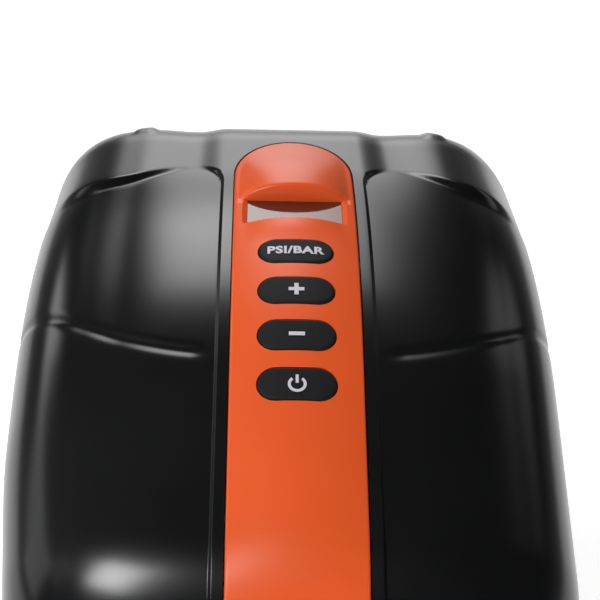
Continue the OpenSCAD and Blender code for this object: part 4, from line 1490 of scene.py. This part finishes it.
@dataclass
class Studio:
    """Camera, pale floor and soft lights."""

    turn: float = 2.0
    tilt: float = 25.0
    roll: float = 1.76
    shift: tuple[float, float] = (0.69, 48.55)
    distance: float = 427.0
    aim: tuple[float, float, float] = (0.0, -88.73, 125.4)
    lens: float = 96.0
    floor_half: float = 12.0
    floor_glow: float = 0.75
    lamp_aim: tuple[float, float, float] = (0.0, 0.0, 0.12)
    glow: float = 0.012
    ring: tuple[Fade, ...] = (("Z", 0.1, 0.45, 0.14, 0.0), ("Y", -0.5, 0.3, 0.05, 1.0))
    panel: tuple[Fade, ...] = (
        ("X", -0.22, -0.1, 0.0, 6.8), ("X", 0.0, 0.12, 1.0, 0.0), ("Y", 0.02, 0.25, 0.0, 1.0),
        ("Z", 0.5, 0.75, 0.0, 1.0), ("Z", 0.89, 0.925, 1.0, 0.0))
    low_panel: tuple[Fade, ...] = (
        ("X", -0.2, -0.08, 0.0, 2.0), ("X", 0.06, 0.2, 1.0, 0.0), ("Y", 0.02, 0.25, 0.0, 1.0),
        ("Z", 0.0, 0.2, 0.0, 1.0), ("Z", 0.5, 0.75, 1.0, 0.0))
    left_wall: tuple[Fade, ...] = (
        ("X", -0.9, -0.76, 0.0, 3.4), ("X", -0.62, -0.5, 1.0, 0.0), ("Y", 0.2, 0.35, 0.0, 1.0),
        ("Z", 0.42, 0.55, 0.0, 1.0), ("Z", 0.72, 0.84, 1.0, 0.0))
    right_wall: tuple[Fade, ...] = (
        ("X", 0.5, 0.62, 0.0, 0.8), ("X", 0.76, 0.88, 1.0, 0.0), ("Y", 0.2, 0.35, 0.0, 1.0),
        ("Z", 0.42, 0.55, 0.0, 1.0), ("Z", 0.72, 0.84, 1.0, 0.0))

    def camera(self) -> None:
        """Places the camera: aimed by turn and tilt, rolled, then stepped aside and back from the aim."""
        psi, e, rho = (math.radians(v) for v in (self.turn, self.tilt, self.roll))
        ahead = np.array([math.sin(psi) * math.cos(e), math.cos(psi) * math.cos(e), -math.sin(e)])
        right = np.array([math.cos(psi), -math.sin(psi), 0.0])
        up = np.cross(right, ahead)
        r2 = right * math.cos(rho) + up * math.sin(rho)
        u2 = -right * math.sin(rho) + up * math.cos(rho)
        aim = np.array(self.aim) + np.array([self.shift[0], 0, 0])
        spot = aim - ahead * self.distance + u2 * self.shift[1]
        data = bpy.data.cameras.new("camera")
        data.lens, data.sensor_width = self.lens, 36.0
        data.clip_start, data.clip_end = 0.01, 50.0
        cam = linked("camera", data)
        cam.matrix_world = Matrix((
            (r2[0], u2[0], -ahead[0], spot[0] * MM), (r2[1], u2[1], -ahead[1], spot[1] * MM),
            (r2[2], u2[2], -ahead[2], spot[2] * MM), (0, 0, 0, 1)))
        bpy.context.scene.camera = cam

    def floor(self) -> None:
        """A wide pale sheet under the object that shines a little itself."""
        run = np.linspace(-self.floor_half, self.floor_half, 25)
        grid = np.stack(np.broadcast_arrays(run[None, :], run[:, None], 0.0), -1)
        mesh = bpy.data.meshes.new("floor")
        mesh.from_pydata(grid.reshape(-1, 3).tolist(), [], grid_quads(len(run), len(run)))
        mesh.shade_smooth()
        floor = linked("floor", mesh)
        paper = Finish("studio_paper", (0.86, 0.86, 0.86), 0.9, relief=0.0, drift=0.01, wear=0.02).build()
        shader = paper.node_tree.nodes["Principled BSDF"]
        shader.inputs["Emission Color"].default_value = (1.0, 1.0, 1.0, 1.0)
        shader.inputs["Emission Strength"].default_value = self.floor_glow
        mesh.materials.append(paper)

    def lamp(self, name: str, spot: tuple[float, float, float], size: float, power: float) -> None:
        """A square soft light that faces the object.

        Args:
            name: its name.
            spot: where it stands, in metres.
            size: its side in metres.
            power: watts.
        """
        data = bpy.data.lights.new(name, "AREA")
        data.shape, data.size, data.size_y = "RECTANGLE", size, size
        data.energy = power
        lamp = linked(name, data)
        lamp.location = spot
        lamp.rotation_mode = "QUATERNION"
        lamp.rotation_quaternion = (Vector(spot) - Vector(self.lamp_aim)).to_track_quat("Z", "Y")

    def world(self) -> None:
        """A dark room with soft bright patches.

        Strength is a faint glow, plus a low ring that fades with height and to the front, plus a high
        and a low panel behind the object and a wall to each side. A patch is a window in X times one
        in Y and one in Z of the direction.
        """
        world = bpy.data.worlds.new("room")
        bpy.context.scene.world = world
        world.use_nodes = True
        tree = world.node_tree
        where = tree.nodes.new("ShaderNodeTexCoord")
        parts = tree.nodes.new("ShaderNodeSeparateXYZ")
        tree.links.new(where.outputs["Generated"], parts.inputs["Vector"])
        sky = Sky(tree, parts)
        total = sky.patch(self.ring)
        for fades in (self.panel, self.low_panel, self.left_wall, self.right_wall):
            total = sky.merge("ADD", total, sky.patch(fades))
        total = sky.merge("ADD", total, self.glow)
        background = tree.nodes["Background"]
        tree.links.new(total, background.inputs["Strength"])
        background.inputs["Color"].default_value = (1.0, 1.0, 1.0, 1.0)

    def build(self) -> None:
        """Sets up the floor, the room and the lights."""
        bpy.context.scene.view_settings.view_transform = "Standard"
        self.floor()
        self.world()
        self.lamp("front_key", (-0.45, -0.65, 0.95), 0.35, 7.0)
        self.lamp("side_left", (-1.3, -0.1, 0.7), 0.8, 2.4)


def main() -> None:
    """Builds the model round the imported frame."""
    logging.basicConfig(level=logging.INFO, format="%(message)s")
    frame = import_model()
    studio = Studio()
    studio.camera()
    studio.build()
    body = Body()
    strip = ConsoleStrip(body)
    housing = Housing(body, strip)
    housing.build()
    strip.build()
    Keypad(strip).build()
    Sockets().build(housing.sockets)
    Feet().build()
    Works().build(frame["nodes"])


if __name__ == "__main__":
    main()
